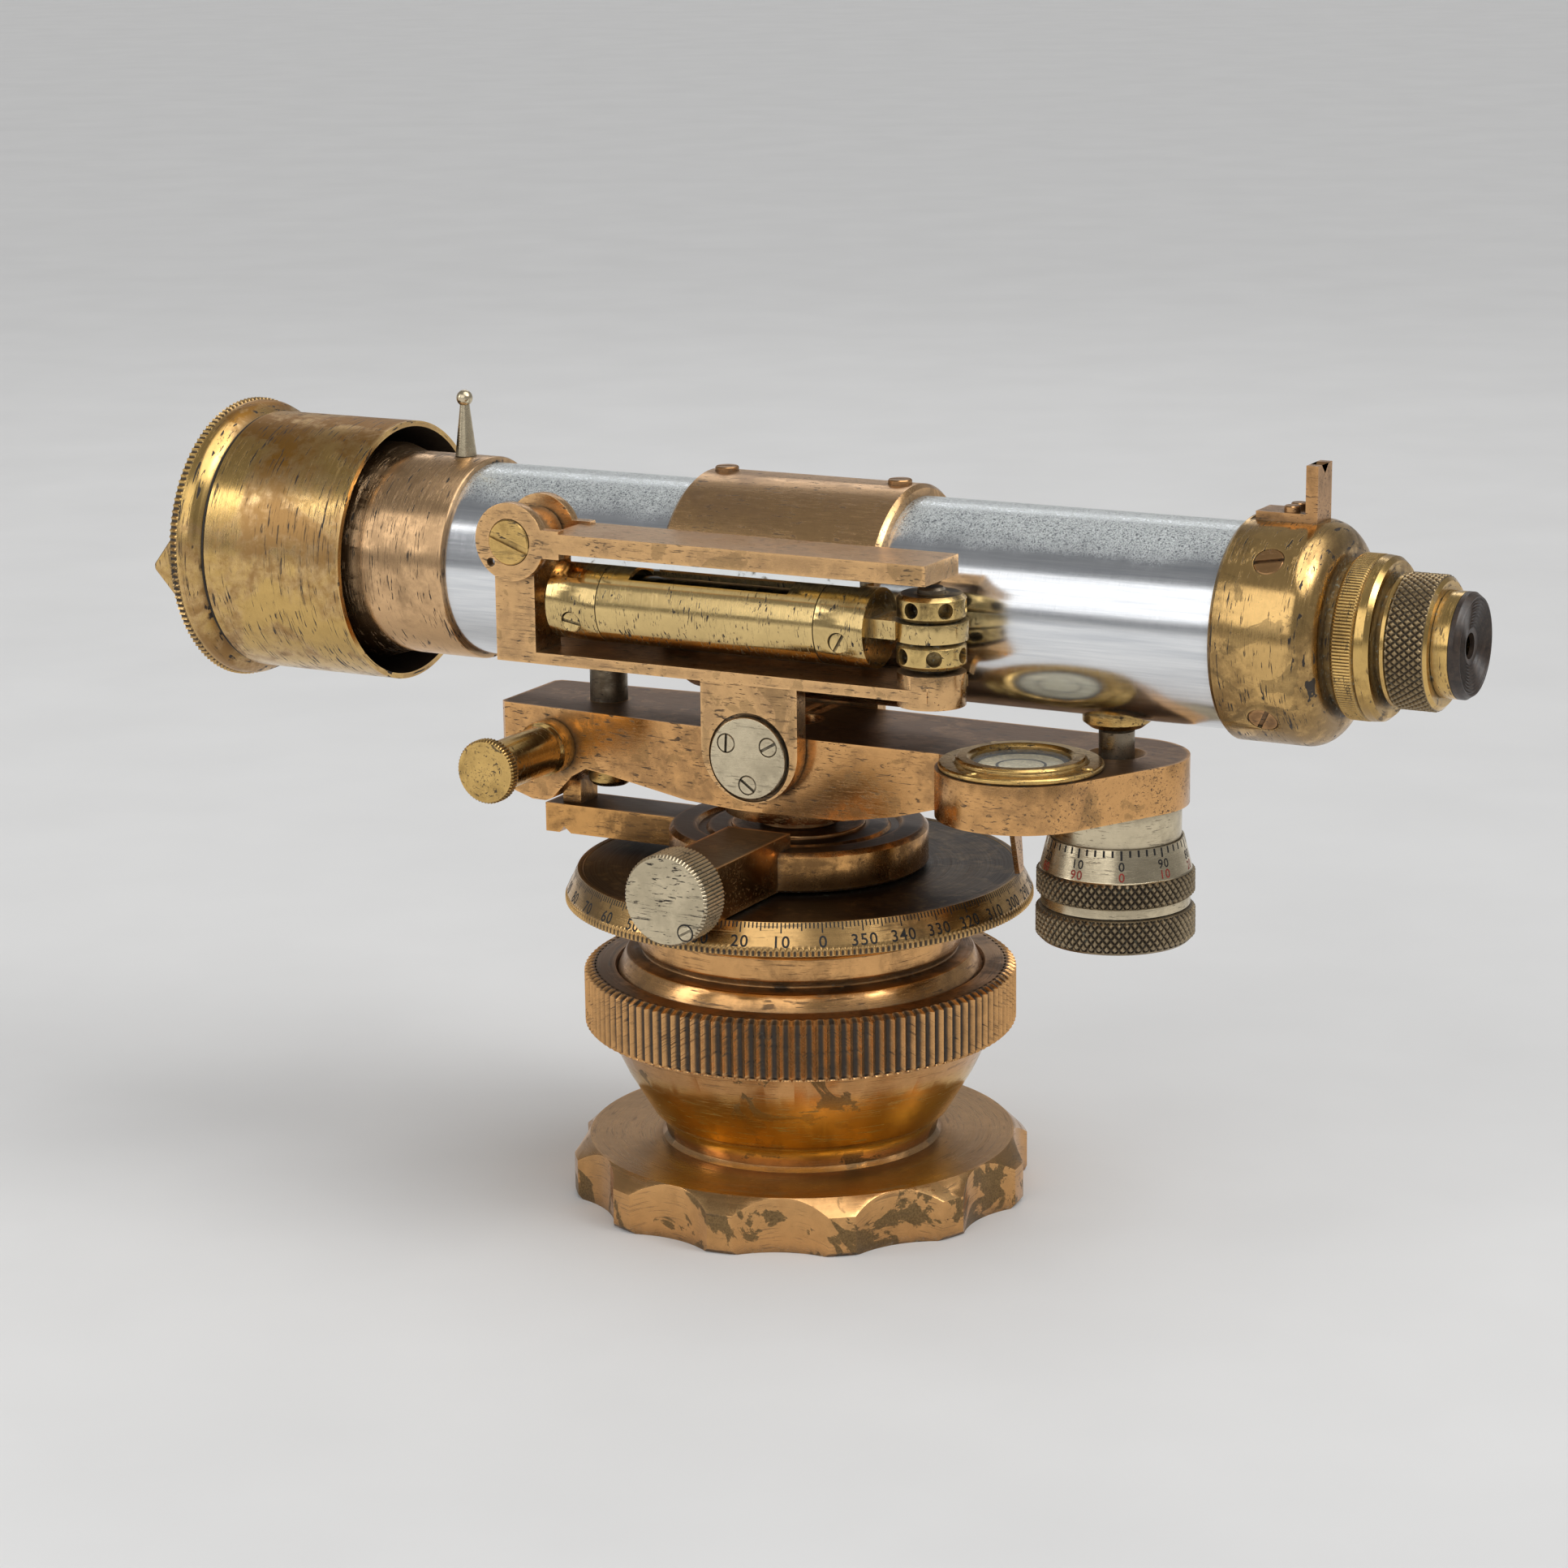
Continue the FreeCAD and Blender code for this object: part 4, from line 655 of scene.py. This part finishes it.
def make_dioptre_ring(mats):
    outline = [(112.4, 7.95), (112.4, 10.9), (112.6, 11.1), (113.2, 11.1), (113.4, 10.7),
               (113.6, 11.35), (119.6, 11.35), (119.9, 11.0), (120.4, 10.4), (120.4, 7.95)]
    mesh = lathe("knurled_dioptre_ring", SIGHT, dense(outline, 0.14), 864,
                 diamonds(52, 0.40, 113.5, 119.8, 1.6, least=10.6))
    add_piece("knurled_dioptre_ring", mesh, mats["brass_sight"], "dioptre",
              ["dioptre_ring"])
    mesh.materials.append(mats["knurl_eye"])
    for face in mesh.polygons:
        if 113.5 < face.center.x / MM < 119.9:
            face.material_index = 1


def make_focus_ring(mats):
    outline = [(97.6, 9.65), (97.6, 12.2), (104.6, 12.2), (104.9, 13.4), (105.5, 13.9),
               (108.5, 13.9), (108.85, 13.45), (109.2, 13.85), (110.6, 13.7), (111.4, 13.0),
               (111.4, 9.65)]
    mesh = lathe("milled_focus_ring", SIGHT, dense(outline, 0.3), 1200,
                 flutes(150, 0.20, 105.2, 108.6, 0.15, least=13.0))
    add_piece("milled_focus_ring", mesh, mats["brass_sight"], "focus_ring",
              ["focus_ring"])


def make_eyecup(mats):
    outline = [(123.4, 2.2), (123.4, 8.9), (124.2, 8.9), (125.2, 8.2)]
    rings = 9
    for i in range(rings):
        reach = 8.0 - i * (5.0 / rings)
        sink = 125.15 - 0.75 * (i / (rings - 1)) ** 1.2
        outline += [(sink, reach), (sink - 0.22, reach - 0.18), (sink - 0.22, reach - 0.34),
                    (sink, reach - 0.46)]
    outline += [(124.2, 2.6), (124.2, 2.2)]
    mesh = lathe("ringed_eyecup", SIGHT, outline, 144)
    add_piece("ringed_eyecup", mesh, mats["eyecup"], "dioptre", ["eyecup"])


def make_shade(mats):
    outline = [(-115.4, 23.0), (-81.1, 23.0), (-81.1, 24.0), (-110.7, 24.0), (-111.0, 23.5),
               (-111.5, 23.5), (-111.8, 24.0), (-112.4, 24.6), (-113.2, 25.45), (-114.2, 25.85),
               (-115.4, 25.9)]
    mesh = lathe("rolled_ray_shade", SIGHT, dense(outline, 1.0), 256)
    add_piece("rolled_ray_shade", mesh, mats["brass_shade"], "ray_shade",
              ["ray_shade"])
    line = lathe("shade_joint_line", SIGHT, [(-111.45, 23.4), (-111.45, 23.75), (-111.05, 23.75),
                                             (-111.05, 23.4)], 256)
    add_piece("shade_joint_line", line, mats["blackened"], "ray_shade")
    # Painted shade: the inner wall of the ray shade is coloured near-black.
    mesh.materials.append(mats["blackened"])
    for face in mesh.polygons:
        at = face.center / MM
        if at.x > -115.0 and math.hypot(at.y, at.z - SIGHT[2]) < 23.3:
            face.material_index = 1


def make_dust_cap(mats):
    outline = [(-117.2, 0.01), (-117.2, 25.5), (-116.9, 26.25), (-115.7, 26.25), (-115.45, 25.9),
               (-115.45, 22.95), (-112.3, 22.95), (-112.3, 21.7), (-115.45, 21.7),
               (-115.45, 0.01)]
    disc = lathe("milled_dust_cap", SIGHT, dense(outline, 0.45), 1120,
                 scallops(140, 0.42, -117.25, -115.4, 0.12, least=25.2))
    add_piece("milled_dust_cap", disc, mats["brass_shade"], "dust_cap", ["dust_cap"])
    lean = math.radians(5)
    verts = []
    for y in (-24.5, 24.5):
        for x, z in ((-117.1, 6.0), (-121.7, 0.5), (-121.7, -0.5), (-117.1, -6.0)):
            verts.append(Vector((x, y * math.cos(lean) - z * math.sin(lean),
                                 SIGHT[2] + y * math.sin(lean) + z * math.cos(lean))) * MM)
    faces = [(0, 1, 2, 3), (7, 6, 5, 4)] + [(k, k + 4, (k + 1) % 4 + 4, (k + 1) % 4)
                                            for k in range(4)]
    mesh = bpy.data.meshes.new("dust_cap_grip")
    mesh.from_pydata(verts, [], faces)
    tidy_normals(mesh)
    grip = add_piece("dust_cap_grip", mesh, mats["brass_shade"], "dust_cap")
    round_edges(grip, 0.3)


def make_dial(mats):
    outline = [(54.4, 16.05), (54.4, 41.9), (54.55, 42.1), (55.3, 42.1), (60.0, 39.8),
               (60.0, 38.9), (59.9, 38.8), (59.9, 16.05)]
    mesh = lathe("milled_dial", UPRIGHT, dense(outline, 0.40), 2048,
                 scallops(256, 0.34, 54.3, 55.75, 0.15, least=41.3))
    add_piece("milled_dial", mesh, mats["bronze_dial"], "circle", ["dial"])


# ------------------------------------------------------------------ engraving

def cone_point(axis, start, end, share, angle, lift):
    """Point on a cone between (along, radius) ends, lifted off its surface, in metres."""
    along = start[0] + (end[0] - start[0]) * share
    radius = start[1] + (end[1] - start[1]) * share
    slope = math.hypot(end[0] - start[0], end[1] - start[1])
    out_along = -(end[1] - start[1]) / slope
    out_radius = (end[0] - start[0]) / slope
    return to_frame(axis, along + out_along * lift, radius + out_radius * lift, angle)


def make_ticks(name, axis, start, end, marks, width, material, body):
    """Engraved lines on a cone; marks are (angle, low share, high share)."""
    verts, faces = [], []
    for angle, low, high in marks:
        corner = len(verts)
        steps = 3
        for i in range(steps + 1):
            share = low + (high - low) * i / steps
            reach = start[1] + (end[1] - start[1]) * share
            half = width / 2 / reach
            for side, lift in ((-1, 0.004), (0, 0.012), (1, 0.004)):
                verts.append(cone_point(axis, start, end, share, angle + side * half, lift))
        for i in range(steps):
            for k in range(2):
                at = corner + 3 * i + k
                faces.append((at, at + 1, at + 4, at + 3))
    mesh = bpy.data.meshes.new(name)
    mesh.from_pydata(verts, [], faces)
    mesh.shade_smooth()
    return add_piece(name, mesh, material, body)


def glyph_mesh(text, size):
    """Flat outline of a number in millimetres: list of vertices and faces, centred."""
    curve = bpy.data.curves.new("glyph", "FONT")
    curve.body = text
    curve.size = size
    curve.align_x = "CENTER"
    curve.align_y = "CENTER"
    curve.offset = 0.012 * size
    curve.space_character = 1.15
    shape = bpy.data.objects.new("glyph", curve)
    bpy.context.scene.collection.objects.link(shape)
    bpy.context.view_layer.update()
    mesh = bpy.data.meshes.new_from_object(shape)
    verts = [v.co.copy() for v in mesh.vertices]
    faces = [tuple(p.vertices) for p in mesh.polygons]
    bpy.data.objects.remove(shape)
    bpy.data.curves.remove(curve)
    bpy.data.meshes.remove(mesh)
    return verts, faces


def make_numbers(name, axis, start, end, labels, size, material, body, handed=1):
    """Numbers on a cone; labels are (text, angle, share of the way up)."""
    verts, faces = [], []
    length = math.hypot(end[0] - start[0], end[1] - start[1])
    for text, angle, share in labels:
        flat, polygons = glyph_mesh(text, size)
        first = len(verts)
        reach = start[1] + (end[1] - start[1]) * share
        for point in flat:
            verts.append(cone_point(axis, start, end, share + point.y / length,
                                    angle + handed * point.x / reach, 0.012))
        faces += [tuple(first + i for i in face) for face in polygons]
    mesh = bpy.data.meshes.new(name)
    mesh.from_pydata(verts, [], faces)
    return add_piece(name, mesh, material, body)


DIAL_ZERO = math.radians(-56.6)


def engrave_dial(mats):
    start, end = (55.3, 42.1), (60.0, 39.8)
    marks = []
    for degree in range(360):
        high = 0.99
        low = 0.80 if degree % 5 else (0.72 if degree % 10 else 0.64)
        marks.append((DIAL_ZERO - math.radians(degree), low, high))
    make_ticks("dial_ticks", UPRIGHT, start, end, marks, 0.25, mats["ink"], "circle")
    labels = [(str(degree), DIAL_ZERO - math.radians(degree), 0.33)
              for degree in range(0, 360, 10)]
    make_numbers("dial_numbers", UPRIGHT, start, end, labels, 2.9, mats["ink"], "circle")


DRUM_MIDDLE = math.radians(-62.0)


def engrave_drum(mats):
    start, end = (66.8, 13.1), (72.3, 11.75)
    marks = []
    for step in range(50):
        low = 0.78 if step % 5 else 0.69
        marks.append((DRUM_MIDDLE - 2 * math.pi * step / 50, low, 0.985))
    make_ticks("drum_ticks", TILT, start, end, marks, 0.38, mats["ink"], "tilt_drum")
    upper, lower = [], []
    for step in range(10):
        angle = DRUM_MIDDLE - 2 * math.pi * step / 10
        upper.append((str(step * 10), angle, 0.49))
        lower.append((str((100 - step * 10) % 100), angle, 0.165))
    make_numbers("drum_numbers", TILT, start, end, upper, 2.15, mats["ink"], "tilt_drum")
    make_numbers("drum_numbers_red", TILT, start, end, lower, 2.15, mats["red_ink"],
                 "tilt_drum")


# ------------------------------------------------------------------ bull's-eye level

def make_bubble(mats):
    top = BEAM_TOP
    cell = lathe("bubble_ground", BULLSEYE, [(top - 4.3, 0.01), (top - 4.3, 8.35), (top + 0.55, 8.35),
                                         (top + 0.55, 7.5), (top + 0.35, 7.4), (top + 0.35, 0.01)],
                 96)
    add_piece("bubble_ground", cell, mats["cream"], "beam")
    dome = [(top + 0.62, 8.4), (top + 1.05, 8.4)]
    dome += [(top + 1.1 + 0.38 * math.cos(math.radians(9 * i)), 8.3 * math.sin(math.radians(9 * i)))
             for i in range(9, 0, -1)]
    dome += [(top + 1.48, 0.01), (top + 0.62, 0.01)]
    glass = lathe("bubble_window", BULLSEYE, dome, 96)
    add_piece("bubble_window", glass, mats["window"], "beam", ["bubble_glass"])
    for name, inner, outer in (("bubble_ring", 3.9, 4.35), ("bubble_border", 7.3, 8.35)):
        low = top + (0.36 if inner < 7 else 0.56)
        line = [(low, inner), (low, outer), (low + 0.05, outer), (low + 0.05, inner)]
        ring = lathe(name, BULLSEYE, line, 96)
        add_piece(name, ring, mats["ink"], "beam")


# ------------------------------------------------------------------ carried-over CAD nodes

FINISH = {
    "bronze_base": ["base"],
    "bronze_turned": ["seat_washer", "levelling_head"],
    "bronze_cast": ["beam"],
    "bronze_collar": ["azimuth_collar"],
    "bronze_saddle": ["saddle", "mirror_arm"],
    "bronze_plain": ["rear_sight", "telescope_screws", "index_strip"],
    "bronze_sight": ["front_collar"],
    "bronze_eye": ["eye_cap"],
    "brass_sight": ["eyepiece_tube", "eyepiece_barrel", "focus_cell", "reticle_ring"],
    "brass_vial": ["vial_tube", "vial_sleeve", "vial_screws"],
    "brass_blackened": ["capstan_nuts"],
    "brass_tangent": ["tangent_barrel", "tangent_spring_barrel"],
    "brass_plain": ["clamp_pad", "bubble_holder", "bubble_screws", "lift_cap", "tilt_foot",
                    "mirror_pivot"],
    "nickel_plain": ["foresight", "trunnion_pivots", "trunnion_screws", "clamp_knob_screw"],
    "nickel_tilt": ["tilt_sleeve"],
    "steel_dark": ["spindle_screw", "clamp_screw", "tangent_screw", "tangent_plunger",
                   "lift_pin", "tilt_plunger", "vial_stud"],
    "silvered_tube": ["main_tube"],
    "glass": ["objective_lens", "focus_lens", "reticle_glass", "eyepiece_lenses",
              "vial_glass"],
    "mirror": ["mirror_glass"],
}

# Edge rounding in millimetres, for CAD pieces whose edges are worn or broken.
ROUNDED = {"beam": 0.8, "saddle": 0.7, "mirror_arm": 0.5, "azimuth_collar": 0.55, "base": 0.6,
           "rear_sight": 0.2, "levelling_head": 0.25, "eye_cap": 0.2,
           "bubble_holder": 0.1, "capstan_nuts": 0.12, "trunnion_pivots": 0.12,
           "vial_tube": 0.15, "front_collar": 0.15, "tangent_barrel": 0.12,
           "tangent_spring_barrel": 0.2, "lift_cap": 0.2, "mirror_glass": 0.1}


def round_edges(item, width):
    weld = item.modifiers.new("weld", "WELD")
    weld.merge_threshold = 1e-6
    flat = item.modifiers.new("flatten", "DECIMATE")
    flat.decimate_type = "DISSOLVE"
    flat.angle_limit = math.radians(0.5)
    bevel = item.modifiers.new("round", "BEVEL")
    bevel.width = width * MM
    bevel.segments = 3
    bevel.limit_method = "ANGLE"
    bevel.angle_limit = math.radians(34)
    bevel.use_clamp_overlap = True
    bevel.harden_normals = True
    bevel.miter_outer = "MITER_ARC"


def finish_cad(mats):
    for finish, names in FINISH.items():
        for name in names:
            slots = nodes[name].material_slots
            for slot in slots:
                slot.material = mats[finish]
    for name, width in ROUNDED.items():
        round_edges(nodes[name], width)


make_camera()
make_studio()
materials = make_materials()
finish_cad(materials)
for make in (make_clamp_ring, make_clamp_knob, make_tangent_knob, make_tilt_drum, make_tilt_head,
             make_dioptre_ring, make_focus_ring, make_eyecup, make_shade, make_dust_cap, make_dial,
             engrave_dial, engrave_drum, make_bubble):
    make(materials)
